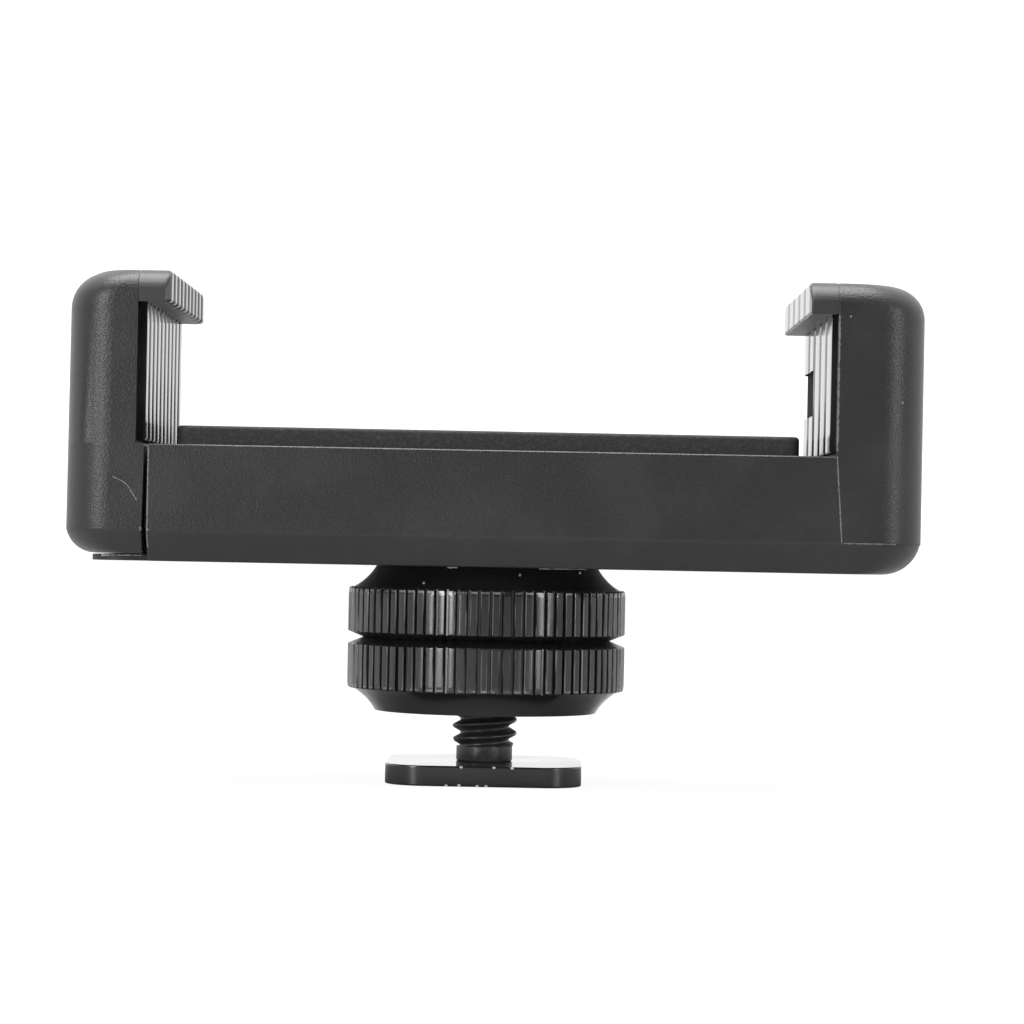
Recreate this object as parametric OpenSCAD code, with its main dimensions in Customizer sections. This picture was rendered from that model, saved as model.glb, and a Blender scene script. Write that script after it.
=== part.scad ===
// Spring phone clamp on a hot-shoe adapter with two thumb nuts.
// The origin is the middle of the shoe foot's underside. +X points to the fixed jaw,
// +Y points away from the face that the lips are seen from, and +Z is up.

/* [Shoe foot] */
// Width of the foot, across the shoe's rails
foot_w = 18.3; // [17:0.1:18.6]
// Length of the foot, along the shoe's rails
foot_d = 18; // [14:0.5:20]
// Thickness of the foot
foot_t = 1.9; // [1.5:0.1:2.1]
// Corner radius of the foot, seen from above
foot_r = 3; // [1:0.5:5]
// Diameter of the hole that the stud is riveted in
rivet_d = 4.4; // [3.5:0.1:4.8]

/* [Stud] */
// Outer diameter of the stud's thread
stud_d = 6.25; // [5.8:0.05:6.35]
// Diameter of the plain neck above the foot
neck_d = 5.3; // [4.9:0.1:5.7]
// Height of the plain neck
neck_h = 1.5; // [0.8:0.1:3]
// Room for the shoe's rails, between the foot and the lower nut
shoe_gap = 4.7; // [4.4:0.1:8]

/* [Thumb nuts] */
// Diameter over the knurl
nut_d = 26.2; // [24:0.1:30]
// Diameter of the face that a nut clamps with
nut_face_d = 20.9; // [18:0.1:21.2]
// Height of the cove beside that face
cove_h = 2.1; // [1.5:0.05:2.15]
// Radius of the cove
cove_r = 5.5; // [4.5:0.1:8]
// Lean of the cove's start from upright
cove_lean = 30; // [20:1:40]
// Height of the knurled ring
ring_h = 4.15; // [3:0.05:6]
// Rounding of the ring's edge towards the cove
ring_edge = 0.5; // [0.2:0.1:0.7]
// Height of the chamfer towards the other nut
groove_h = 0.6; // [0.4:0.1:1]
// Depth of that chamfer
groove_depth = 1.35; // [0.8:0.05:1.6]
// Number of ribs in the knurl
knurl_n = 80; // [48:4:96]
// Depth of the knurl
knurl_depth = 0.4; // [0.2:0.05:0.6]

/* [Clamp] */
// Distance between the two grips with the clamp closed
gap_w = 61.8; // [56:0.1:66]
// Middle of that distance, from the stud's axis
gap_x = -0.05; // [-1:0.05:1]
// How far the moving jaw opens
travel = 26; // [18:0.5:27]
// Depth of the clamp, front to back
clamp_d = 32; // [30:0.5:38]
// Height of the jaws above the clamp's underside
clamp_h = 26.4; // [24:0.1:30]
// Height of the housing
body_h = 10.6; // [10.4:0.1:12]
// Height of the bevel along the clamp's underside
bevel_h = 2.7; // [2:0.1:3]
// Width of that bevel
bevel_w = 1.8; // [1:0.1:2]

/* [Jaws] */
// Thickness of the moving jaw behind its grip
moving_jaw_t = 6.5; // [6:0.1:9]
// Thickness of the fixed jaw behind its grip
fixed_jaw_t = 8.2; // [7.8:0.05:10]
// Radius of the jaws' outer edges, seen from above
jaw_plan_r = 4.3; // [3:0.1:5]
// Radius of the moving jaw's outer top corner, seen from the front
moving_top_r = 3.55; // [2:0.05:4.5]
// Radius of the fixed jaw's outer top corner
fixed_top_r = 3.25; // [2:0.05:4.5]
// Radius of the moving jaw's outer lower corner
moving_low_r = 2.45; // [1.5:0.05:3]
// Radius of the fixed end's outer lower corner
fixed_low_r = 3.2; // [2:0.1:3.4]
// Radius of the jaws' top edges at the front and back
jaw_crown_r = 2.6; // [1:0.1:2.8]
// Draft of the moving jaw's outer face
jaw_draft = 0.15; // [0:0.05:0.4]
// Wall of the moulded jaws
jaw_wall = 1.8; // [1.4:0.1:2]
// Lean of the fixed jaw's seam with the housing
seam_lean = 0.55; // [0:0.05:0.8]

/* [Grips] */
// How far the moving jaw's grip stands proud
moving_grip_t = 0.8; // [0.6:0.05:1]
// How far the fixed jaw's grip stands proud
fixed_grip_t = 0.55; // [0.5:0.05:1]
// Thickness of the lips that hook over the phone
lip_t = 3; // [2:0.1:4]
// Reach of the moving jaw's lip past its grip
moving_lip = 2.15; // [1:0.05:4]
// Reach of the fixed jaw's lip past its grip
fixed_lip = 2.05; // [1:0.05:4]
// Number of ribs on the moving jaw's grip
moving_ribs = 10; // [7:1:12]
// Number of broad ribs on the fixed jaw's grip
fixed_ribs = 5; // [4:1:7]
// Lower edge of the notch at the back of the fixed grip
notch_z = 15; // [14.5:0.1:17]
// Height of that notch
notch_h = 4.4; // [3:0.1:5]
// Length of that notch, from the grip's back edge
notch_l = 11.7; // [8:0.1:12]
// Thickness of the rest strip between the jaws
rest_t = 1.8; // [1:0.1:2.4]
// Margin of the rest strip at the front and back
rest_margin = 3; // [2:0.1:6]
// Distance of the rest strip's ends from the grips
rest_end = 2.5; // [1:0.1:5]

/* [Slide] */
// Side wall of the housing
side_wall = 2; // [1.6:0.1:2.2]
// Roof of the housing
roof_t = 1.6; // [1.2:0.1:1.8]
// Thickness of the base plate inside the housing
floor_t = 1.8; // [1.6:0.1:2]
// Thickness of the base plate's tail under the moving jaw
tail_t = 0.55; // [0.4:0.05:0.8]
// How far that tail sticks out of the housing
tail_l = 5.8; // [3:0.1:6]
// Margin of the base plate inside the clamp's underside
plate_margin = 3.3; // [3:0.1:4]
// Thickness of the tongue's plate
tongue_t = 2.8; // [2.4:0.1:3]
// Width of the tongue's side runners
runner_w = 1.4; // [1:0.1:1.6]
// Running clearance of the tongue
slide_gap = 0.2; // [0.15:0.05:0.3]
// Solid block at the housing's fixed end
end_block = 5.6; // [4.8:0.1:7]
// Diameter of the peg that stops the tongue
peg_d = 4; // [3:0.1:5]
// Distance of the peg from the housing's open end
peg_in = 8.4; // [7:0.1:10]
// Width over the flats of the captured hexagon nut
hex_w = 11.1; // [10:0.1:11.2]

/* [Springs] */
// Distance between each spring and the tongue's runner
spring_side = 0.3; // [0.2:0.1:0.8]
// Wire diameter
wire_d = 0.4; // [0.3:0.05:0.6]
// Number of whole turns in each spring
spring_turns = 34; // [16:1:40]
// Diameter of the pins that hold the springs
pin_d = 2; // [1.6:0.1:2.2]

/* [Screws] */
// Shank diameter of the small screws
screw_d = 2; // [1.6:0.1:2.2]
// Head diameter of the small screws
screw_head_d = 3.8; // [3:0.1:4]

/* [Hidden] */
$fn = 64;

plastic = [0.2, 0.2, 0.205];
dark_plastic = [0.13, 0.13, 0.135];
rubber = [0.32, 0.32, 0.32];
strip_rubber = [0.16, 0.16, 0.16];
anodised = [0.06, 0.06, 0.065];
steel = [0.7, 0.7, 0.68];
brass = [0.78, 0.62, 0.3];

// A cut that has to pass a face goes this far beyond it
over = 1;
// Clearance between two pieces that are pressed or screwed together
fit = 0.1;

// Adapter
nut_h = cove_h + ring_h + groove_h;
lower_nut_z = foot_t + shoe_gap;
upper_nut_z = lower_nut_z + nut_h;
clamp_z = upper_nut_z + nut_h;
bore_d = stud_d + 2 * fit;
stud_chamfer = 0.6;
rivet_h = 0.7;

// Faces of the clamp along X, with the clamp closed
grip_l = gap_x - gap_w / 2;
grip_r = gap_x + gap_w / 2;
moving_seat_x = grip_l - moving_grip_t;
moving_out_x = moving_seat_x - moving_jaw_t - jaw_draft;
fixed_seat_x = grip_r + fixed_grip_t;
fixed_out_x = fixed_seat_x + fixed_jaw_t;
slit_top = 0.3;
slit_low = 0.55;
body_x0 = grip_l + slit_top;
body_x0_low = grip_l + slit_low;
half_d = clamp_d / 2;
jaw_lift = tail_t + fit;
lip_z = clamp_h - lip_t;
grip_low_z = body_h + 0.3;
grip_half_d = half_d - 0.15;

// Seats of the rest strip and of the two grips
rest_sink = 0.4;
rest_r = 3;
rest_l = gap_w - 2 * rest_end;
rest_d = clamp_d - 2 * rest_margin;
grip_peg_d = 3;
grip_peg_y = 0.62 * half_d;
grip_pegs = [for (y = [-grip_peg_y, grip_peg_y], z = [body_h + 2.4, clamp_h - 5]) [y, z]];
plug_l = 2.6;
moving_rib_r = 1.25;
moving_rib_h = 0.35;
fixed_rib_r = 6;
fixed_rib_h = 0.3;
cell_n = 3;
cell_rib = 1.2;
cell_y = half_d - 2.6;
cell_w = (2 * cell_y - (cell_n - 1) * cell_rib) / cell_n;
cell_z0 = body_h + 2;
cell_z1 = clamp_h - 2.2;
cells = [for (i = [0:cell_n - 1]) -cell_y + cell_w / 2 + i * (cell_w + cell_rib)];

// Slide channel and tongue
channel_y = half_d - side_wall;
channel_x1 = fixed_seat_x - end_block;
roof_z = body_h - roof_t;
tongue_y = channel_y - slide_gap - fit;
tongue_top = roof_z - slide_gap;
tongue_low = tongue_top - tongue_t;
runner_z = floor_t + slide_gap;
tongue_x1 = channel_x1 - 0.5;
head_l = moving_jaw_t - jaw_wall + moving_grip_t;
head_x0 = grip_l - head_l + fit;
head_z = 3;
peg_x = body_x0 + peg_in;
slot_w = peg_d + 0.6;

// Room for the springs, between the hexagon nut's boss and the tongue's runners
hex_wall = 0.75;
hex_boss_d = hex_w / cos(30) + 2 * hex_wall;
spring_room_h = tongue_low - floor_t;
spring_room_w = tongue_y - runner_w - hex_boss_d / 2;

// Springs and their pins
spring_d = min(spring_room_h - 0.8, spring_room_w - 2 * spring_side);
spring_lead = 6 * wire_d;
spring_y = tongue_y - runner_w - spring_d / 2 - spring_side;
spring_z = (floor_t + tongue_low) / 2;
spring_r = (spring_d - wire_d) / 2;
loop_r = pin_d / 2 + fit + wire_d / 2;
tongue_pin_x = body_x0 + 2.8;
anchor_pin_x = channel_x1 - 2.6;
pin_boss_d = min(pin_d + 1.6, 2 * (tongue_y - runner_w - spring_y - fit));

// Base plate
tail_x0 = body_x0_low - tail_l;
plate_w = clamp_d - 2 * plate_margin;
rebate_y = plate_w / 2 + fit;
plate_x1 = fixed_seat_x - 0.6;
tail_r = 3;
hex_z = 0.8;
hex_h = tongue_low - 0.7 - hex_z;
stud_reach = hex_z + hex_h - 0.4;

// Screws
base_screw_x = channel_x1 + end_block / 2 - 0.3;
base_screw_y = 0.56 * half_d;
base_screw_l = 0.68 * body_h;
jaw_screw_x = fixed_seat_x + jaw_wall + (fixed_jaw_t - 2 * jaw_wall) / 2;
jaw_screw_y = 0.53 * half_d;
jaw_screw_l = 0.75 * body_h;
jaw_boss_d = 2.2 * screw_d;
tongue_screw_x = (head_x0 + moving_seat_x) / 2 + 0.3;
tongue_screw_y = 0.47 * half_d;
tongue_screw_l = tongue_top - jaw_lift - 1.6;
head_cone_h = 1;

// Area outside an arc, as a cutter for the corner that dir points to
module corner_cut(at, dir, r) {
    translate(at) difference() {
        translate([dir[0] > 0 ? 0 : -r - over, dir[1] > 0 ? 0 : -r - over]) square(r + over);
        circle(r);
    }
}

// Rectangle with its middle at the origin and all four corners round
module round_plate(size, r) {
    difference() {
        square(size, center = true);
        for (sx = [-1, 1], sy = [-1, 1])
            corner_cut([sx * (size[0] / 2 - r), sy * (size[1] / 2 - r)], [sx, sy], r);
    }
}

// Carries an outline drawn in X and Z through the clamp's whole depth
module through_depth() {
    translate([0, half_d, 0]) rotate([90, 0, 0]) linear_extrude(clamp_d) children();
}

// Carries an outline drawn in Y and Z along X, from x0 to x1
module along_x(x0, x1) {
    translate([x0, 0, 0]) rotate([90, 0, 90]) linear_extrude(x1 - x0) children();
}

// Cross-section of the clamp: bevelled below, with a crown radius on top if it is asked for
module cross_section(h, crown) {
    difference() {
        polygon([[-half_d + bevel_w, 0], [half_d - bevel_w, 0], [half_d, bevel_h], [half_d, h],
            [-half_d, h], [-half_d, bevel_h]]);
        if (crown > 0)
            for (sy = [-1, 1]) corner_cut([sy * (half_d - crown), h - crown], [sy, 1], crown);
    }
}

// A bar from inner to outer, seen from above, with the two corners of its outer end round
module end_plan(inner, outer, r) {
    side = outer > inner ? 1 : -1;
    difference() {
        translate([min(inner, outer), -half_d]) square([abs(outer - inner), clamp_d]);
        for (sy = [-1, 1]) corner_cut([outer - side * r, sy * (half_d - r)], [side, sy], r);
    }
}

// Small countersunk screw, with the head's face at z = 0 and the shank going up
module small_screw(length) {
    cylinder(d1 = screw_head_d, d2 = screw_d, h = head_cone_h);
    cylinder(d = screw_d, h = length);
}

// Room for that screw
module screw_room(length) {
    translate([0, 0, -over]) cylinder(d = screw_head_d + 2 * fit, h = over + fit);
    translate([0, 0, fit])
        cylinder(d1 = screw_head_d + 2 * fit, d2 = screw_d + 2 * fit, h = head_cone_h);
    translate([0, 0, -over]) cylinder(d = screw_d + 2 * fit, h = length + over + fit);
}

module shoe_foot() {
    color(anodised) difference() {
        linear_extrude(foot_t) round_plate([foot_w, foot_d], foot_r);
        rotate_extrude() polygon([[0, -over], [rivet_d / 2 + rivet_h + fit / 2, -over],
            [rivet_d / 2 + rivet_h + fit / 2, 0], [rivet_d / 2 + fit / 2, rivet_h],
            [rivet_d / 2 + fit / 2, foot_t + over], [0, foot_t + over]]);
    }
}

// Turned stud: thread, plain neck, and a spigot that is riveted in the foot
module stud() {
    stud_top = clamp_z + stud_reach;
    color(anodised) rotate_extrude() polygon([
        [0, 0], [rivet_d / 2 + rivet_h, 0], [rivet_d / 2, rivet_h],
        [rivet_d / 2, foot_t], [neck_d / 2, foot_t], [neck_d / 2, foot_t + neck_h],
        [stud_d / 2, foot_t + neck_h + (stud_d - neck_d) / 2], [stud_d / 2, stud_top - stud_chamfer],
        [stud_d / 2 - stud_chamfer, stud_top], [0, stud_top]]);
}

// Outline of the straight knurl: broad, flat-topped ribs with narrow grooves between them
module knurl_outline(r) {
    step = 360 / knurl_n;
    shape = [[0.33, 0.3], [0.46, -knurl_depth], [0.54, -knurl_depth], [0.67, 0.3]];
    polygon([for (i = [0:knurl_n - 1], p = shape)
        (r + p[1]) * [cos((i + p[0]) * step), sin((i + p[0]) * step)]]);
}

// One nut, with its clamping face down and its chamfered face up
module thumb_nut() {
    ring_r = nut_d / 2;
    face_r = nut_face_d / 2;
    centre = [face_r + cove_r * cos(cove_lean), -cove_r * sin(cove_lean)];
    cove_x = centre[0] - sqrt(pow(cove_r, 2) - pow(cove_h - centre[1], 2));
    difference() {
        intersection() {
            linear_extrude(nut_h) knurl_outline(ring_r);
            rotate_extrude() difference() {
                polygon([[0, 0], [cove_x, 0], [cove_x, cove_h], [ring_r - ring_edge, cove_h],
                    [ring_r, cove_h + ring_edge], [ring_r, cove_h + ring_h],
                    [ring_r - groove_depth, nut_h], [0, nut_h]]);
                intersection() {
                    translate(centre) circle(cove_r);
                    translate([face_r - over, -over]) square([cove_r, over + cove_h]);
                }
            }
        }
        translate([0, 0, -over]) cylinder(d = bore_d, h = nut_h + 2 * over);
    }
}

module lower_thumb_nut() {
    color(anodised) translate([0, 0, lower_nut_z]) thumb_nut();
}

module upper_thumb_nut() {
    color(anodised) translate([0, 0, clamp_z]) mirror([0, 0, 1]) thumb_nut();
}

// Side view of the housing: a wall up to the roof, and a low ledge under the fixed jaw
module housing_outline() {
    difference() {
        polygon([[body_x0_low, 0], [fixed_out_x, 0], [fixed_out_x, bevel_h],
            [fixed_seat_x + seam_lean, bevel_h], [fixed_seat_x, body_h], [body_x0, body_h]]);
        corner_cut([fixed_out_x - fixed_low_r, fixed_low_r], [1, -1], fixed_low_r);
    }
}

// Moulded housing, open at the left end for the tongue and underneath for the base plate
module housing() {
    color(plastic) translate([0, 0, clamp_z]) {
        difference() {
            intersection() {
                through_depth() housing_outline();
                along_x(body_x0, fixed_out_x) cross_section(body_h, 0);
                linear_extrude(body_h) end_plan(body_x0, fixed_out_x, jaw_plan_r);
            }
            translate([body_x0 - over, -channel_y, floor_t])
                cube([channel_x1 - body_x0 + over, 2 * channel_y, roof_z - floor_t]);
            translate([body_x0 - over, -rebate_y, -over])
                cube([plate_x1 + fit - body_x0 + over, 2 * rebate_y, floor_t + over]);
            translate([gap_x, 0, body_h - rest_sink]) linear_extrude(rest_sink + over)
                round_plate([rest_l + 2 * fit, rest_d + 2 * fit], rest_r + fit);
            for (sy = [-1, 1]) {
                translate([base_screw_x, sy * base_screw_y, fit]) screw_room(base_screw_l + 0.4);
                translate([jaw_screw_x, sy * jaw_screw_y, fit]) screw_room(bevel_h);
            }
        }
        translate([peg_x, 0, tongue_low + 0.3]) cylinder(d = peg_d, h = roof_z - tongue_low - 0.3);
    }
}

// Base plate with the pocket for the hexagon nut and the seats of the spring pins
module base_plate() {
    color(dark_plastic) translate([0, 0, clamp_z]) difference() {
        union() {
            translate([tail_x0, -plate_w / 2, 0]) cube([plate_x1 - tail_x0, plate_w, tail_t]);
            translate([body_x0_low, -plate_w / 2, 0])
                cube([plate_x1 - body_x0_low, plate_w, floor_t]);
            cylinder(d = hex_boss_d, h = hex_z + hex_h + fit);
            for (sy = [-1, 1]) translate([anchor_pin_x, sy * spring_y, 0])
                cylinder(d = pin_boss_d, h = spring_z - wire_d / 2 - 0.4);
        }
        for (sy = [-1, 1]) {
            translate([tail_x0, sy * plate_w / 2, -over]) linear_extrude(tail_t + 2 * over)
                translate([0, -sy * tail_r]) difference() {
                    translate([-over, sy > 0 ? 0 : -tail_r - over]) square(tail_r + over);
                    translate([tail_r, 0]) circle(tail_r);
                }
            translate([base_screw_x, sy * base_screw_y, fit]) screw_room(base_screw_l);
            translate([anchor_pin_x, sy * spring_y, 0.6]) cylinder(d = pin_d, h = spring_z);
        }
        translate([0, 0, -over]) cylinder(d = stud_d + 1, h = hex_z + 2 * over);
        translate([0, 0, hex_z]) cylinder(d = (hex_w + fit) / cos(30), h = hex_h + over, $fn = 6);
    }
}

module base_screws() {
    color(steel) for (sy = [-1, 1])
        translate([base_screw_x, sy * base_screw_y, clamp_z + 2 * fit])
            small_screw(base_screw_l);
}

module tripod_nut() {
    color(brass) translate([0, 0, clamp_z + hex_z]) difference() {
        cylinder(d = hex_w / cos(30), h = hex_h, $fn = 6);
        translate([0, 0, -over]) cylinder(d = bore_d, h = hex_h + 2 * over);
    }
}

// Rubber strip that the phone's back lies on, sunk a little into the housing's roof
module rest_strip() {
    color(strip_rubber) translate([gap_x, 0, clamp_z + body_h - rest_sink])
        linear_extrude(rest_sink + rest_t) round_plate([rest_l, rest_d], rest_r);
}

// Fixed jaw: a moulded cap, hollow from below, that stands on the housing's ledge
module fixed_jaw() {
    core_x = fixed_seat_x + jaw_wall + 0.2;
    core_w = fixed_out_x - jaw_wall - core_x;
    color(plastic) translate([0, 0, clamp_z]) difference() {
        intersection() {
            through_depth() difference() {
                polygon([[fixed_seat_x, clamp_h], [fixed_seat_x, body_h],
                    [fixed_seat_x + seam_lean, bevel_h], [fixed_out_x, bevel_h],
                    [fixed_out_x, clamp_h]]);
                corner_cut([fixed_out_x - fixed_top_r, clamp_h - fixed_top_r], [1, 1], fixed_top_r);
                corner_cut([fixed_out_x - fixed_low_r, fixed_low_r], [1, -1], fixed_low_r);
            }
            along_x(fixed_seat_x, fixed_out_x) cross_section(clamp_h, jaw_crown_r);
            linear_extrude(clamp_h) end_plan(fixed_seat_x, fixed_out_x, jaw_plan_r);
        }
        difference() {
            translate([core_x, -half_d + jaw_plan_r, bevel_h - over])
                cube([core_w, clamp_d - 2 * jaw_plan_r, clamp_h - fixed_top_r / 2 - bevel_h]);
            for (sy = [-1, 1]) translate([jaw_screw_x, sy * jaw_screw_y, 0])
                cylinder(d = jaw_boss_d, h = body_h + 2);
        }
        for (sy = [-1, 1]) translate([jaw_screw_x, sy * jaw_screw_y, 0])
            cylinder(d = screw_d + fit, h = body_h);
        for (p = grip_pegs) translate([fixed_seat_x - over, p[0], p[1]]) rotate([0, 90, 0])
            cylinder(d = grip_peg_d + 2 * fit, h = jaw_wall + 2 * over);
    }
}

module fixed_jaw_screws() {
    color(steel) for (sy = [-1, 1])
        translate([jaw_screw_x, sy * jaw_screw_y, clamp_z + 2 * fit])
            small_screw(jaw_screw_l);
}

// Grip outline in X and Y: a flat back at x = 0 and ribs that reach x = depth
module ribbed_outline(depth, n, rib_r, rib_h) {
    pitch = 2 * grip_half_d / n;
    translate([0, -grip_half_d]) square([depth - rib_h, 2 * grip_half_d]);
    intersection() {
        for (i = [0:n - 1])
            translate([depth - rib_r, -grip_half_d + (i + 0.5) * pitch]) circle(rib_r, $fn = 32);
        translate([0, -grip_half_d]) square([depth + over, 2 * grip_half_d]);
    }
}

// Rubber grip with vertical ribs, a lip on top, and plugs that hold it in the jaw
module moving_grip() {
    color(rubber) translate([moving_seat_x, 0, clamp_z]) {
        translate([0, 0, grip_low_z]) linear_extrude(lip_z + over / 2 - grip_low_z)
            ribbed_outline(moving_grip_t, moving_ribs, moving_rib_r, moving_rib_h);
        translate([0, 0, lip_z]) lip(moving_grip_t + moving_lip)
            ribbed_outline(moving_grip_t + moving_lip, moving_ribs, moving_rib_r, moving_rib_h);
        for (c = cells)
            translate([-plug_l, c - cell_w / 2 + fit, cell_z0 + fit])
                cube([plug_l + fit, cell_w - 2 * fit, cell_z1 - cell_z0 - 2 * fit]);
    }
}

// A lip: the outline carried up, with its inner top edge round and the jaws' crown on its ends
module lip(reach) {
    r = lip_t / 3;
    intersection() {
        linear_extrude(lip_t) children();
        through_depth() difference() {
            square([reach, lip_t]);
            corner_cut([reach - r, lip_t - r], [1, 1], r);
        }
        translate([0, 0, -lip_z]) along_x(0, reach) cross_section(clamp_h, jaw_crown_r);
    }
}

// Moving jaw: moulded, with cells for the grip's plugs and a socket for the tongue's head
module moving_jaw() {
    color(plastic) translate([0, 0, clamp_z]) difference() {
        intersection() {
            through_depth() difference() {
                polygon([[moving_out_x, jaw_lift], [grip_l, jaw_lift], [grip_l, body_h],
                    [moving_seat_x, body_h], [moving_seat_x, clamp_h],
                    [moving_out_x + jaw_draft, clamp_h], [moving_out_x, jaw_lift + moving_low_r]]);
                corner_cut([moving_out_x + jaw_draft + moving_top_r, clamp_h - moving_top_r],
                    [-1, 1], moving_top_r);
                corner_cut([moving_out_x + moving_low_r, jaw_lift + moving_low_r], [-1, -1],
                    moving_low_r);
            }
            along_x(moving_out_x, grip_l) cross_section(clamp_h, jaw_crown_r);
            linear_extrude(clamp_h) end_plan(grip_l, moving_out_x, jaw_plan_r);
        }
        for (c = cells) translate([moving_out_x + jaw_wall, c - cell_w / 2, cell_z0])
            cube([moving_jaw_t - jaw_wall + over, cell_w, cell_z1 - cell_z0]);
        translate([head_x0 - fit, -tongue_y - fit, head_z - fit])
            cube([head_l + over, 2 * (tongue_y + fit), tongue_top - head_z + 2 * fit]);
        for (sy = [-1, 1]) translate([tongue_screw_x, sy * tongue_screw_y, jaw_lift])
            screw_room(head_z);
    }
}

// Sliding tongue: a plate with side runners, the stop slot and a head that sits in the jaw
module tongue() {
    color(dark_plastic) translate([0, 0, clamp_z]) difference() {
        union() {
            translate([head_x0, -tongue_y, tongue_low])
                cube([tongue_x1 - head_x0, 2 * tongue_y, tongue_t]);
            for (sy = [-1, 1]) {
                translate([grip_l, sy > 0 ? tongue_y - runner_w : -tongue_y, runner_z])
                    cube([tongue_x1 - grip_l, runner_w, tongue_low - runner_z]);
                translate([tongue_pin_x, sy * spring_y, spring_z + wire_d / 2 + 0.4])
                    cylinder(d = pin_boss_d, h = tongue_low - spring_z - wire_d / 2);
            }
            translate([head_x0, -tongue_y, head_z])
                cube([grip_l - head_x0, 2 * tongue_y, tongue_top - head_z]);
        }
        translate([0, 0, tongue_low - over]) linear_extrude(tongue_t + 2 * over) {
            translate([peg_x, -slot_w / 2]) square([travel, slot_w]);
            for (x = [peg_x, peg_x + travel]) translate([x, 0]) circle(d = slot_w);
        }
        for (sy = [-1, 1]) {
            translate([tongue_pin_x, sy * spring_y, 0]) cylinder(d = pin_d, h = tongue_top - 0.8);
            translate([tongue_screw_x, sy * tongue_screw_y, 0])
                cylinder(d = screw_d + fit, h = tongue_top - 0.8);
        }
    }
}

module tongue_screws() {
    color(steel) for (sy = [-1, 1])
        translate([tongue_screw_x, sy * tongue_screw_y, clamp_z + jaw_lift + fit])
            small_screw(tongue_screw_l);
}

module tongue_pins() {
    low = spring_z - wire_d / 2 - 0.5;
    color(steel) for (sy = [-1, 1]) translate([tongue_pin_x, sy * spring_y, clamp_z + low])
        cylinder(d = pin_d - fit, h = tongue_top - 1 - low);
}

module anchor_pins() {
    color(steel) for (sy = [-1, 1]) translate([anchor_pin_x, sy * spring_y, clamp_z + 0.7])
        cylinder(d = pin_d - fit, h = spring_z + wire_d / 2 - 0.2);
}

// Rubber grip with broad ribs, a lip on top, a notch at the back and pegs into the jaw
module fixed_grip() {
    color(rubber) translate([fixed_seat_x, 0, clamp_z]) {
        difference() {
            union() {
                mirror([1, 0, 0]) {
                    translate([0, 0, grip_low_z]) linear_extrude(lip_z + over / 2 - grip_low_z)
                        ribbed_outline(fixed_grip_t, fixed_ribs, fixed_rib_r, fixed_rib_h);
                    translate([0, 0, lip_z]) lip(fixed_grip_t + fixed_lip)
                        ribbed_outline(fixed_grip_t + fixed_lip, fixed_ribs, fixed_rib_r,
                            fixed_rib_h);
                }
                for (p = grip_pegs) translate([-fit, p[0], p[1]]) rotate([0, 90, 0])
                    cylinder(d = grip_peg_d, h = jaw_wall + fit);
            }
            translate([-fixed_grip_t - over, grip_half_d - notch_l, notch_z])
                cube([fixed_grip_t + over, notch_l + over, notch_h]);
        }
    }
}

// Unit vector, and the direction of a path at one of its points
function unit(v) = v / norm(v);
function tangent(p, i) = unit(p[min(i + 1, len(p) - 1)] - p[max(i - 1, 0)]);
// A normal carried on to the next point, without twist
function carried(n, t) = unit(n - (n * t) * t);
function normals(p) = [for (i = 0, n = carried([0, 0, 1], tangent(p, 0)); i < len(p);
    i = i + 1, n = i < len(p) ? carried(n, tangent(p, i)) : n) n];

// Round wire along a path, closed at both ends
module wire(p, d, sides) {
    n = normals(p);
    pts = [for (i = [0:len(p) - 1], k = [0:sides - 1])
        let (a = 360 * k / sides, t = tangent(p, i))
        p[i] + d / 2 * (cos(a) * n[i] + sin(a) * cross(t, n[i]))];
    last = (len(p) - 1) * sides;
    walls = [for (i = [0:len(p) - 2], k = [0:sides - 1])
        let (a = i * sides + k, b = i * sides + (k + 1) % sides)
        [a, a + sides, b + sides, b]];
    polyhedron(points = pts, faces = concat([[for (k = [0:sides - 1]) k]], walls,
        [[for (k = [sides - 1:-1:0]) last + k]]));
}

// Extension spring along X between two upright pins: a loop, the coils and a loop
module extension_spring(x0, x1) {
    steps = 8;
    lead = loop_r + spring_lead;
    loop = [for (a = [70:29:360]) [x0 + loop_r * cos(a), loop_r * sin(a), 0]];
    n = steps * spring_turns + floor(steps / 2) + 1;
    span = 360 * spring_turns + 180;
    coils = [for (i = [0:n]) let (a = span * i / n, x = x0 + lead + (x1 - x0 - 2 * lead) * i / n)
        [x, spring_r * cos(a), spring_r * sin(a)]];
    far_loop = [for (i = [len(loop) - 1:-1:0]) [x0 + x1 - loop[i][0], -loop[i][1], 0]];
    wire(concat(loop, coils, far_loop), wire_d, 5);
}

module spring_front() {
    color(steel) translate([0, -spring_y, clamp_z + spring_z])
        extension_spring(tongue_pin_x, anchor_pin_x);
}

module spring_rear() {
    color(steel) translate([0, spring_y, clamp_z + spring_z])
        extension_spring(tongue_pin_x, anchor_pin_x);
}

shoe_foot();
stud();
lower_thumb_nut();
upper_thumb_nut();
housing();
base_plate();
base_screws();
tripod_nut();
rest_strip();
fixed_jaw();
fixed_jaw_screws();
fixed_grip();
anchor_pins();
moving_jaw();
tongue();
tongue_screws();
tongue_pins();
moving_grip();
spring_front();
spring_rear();
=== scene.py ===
"""Phone mount: a sprung phone clamp on a hot-shoe adapter with two thumb nuts.

Shapes are worked out in millimetres in the CAD's frame and turned to metres when they are put in:
+X points to the fixed jaw, +Y away from the camera, +Z up from the shoe foot's underside.
"""

import math

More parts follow.
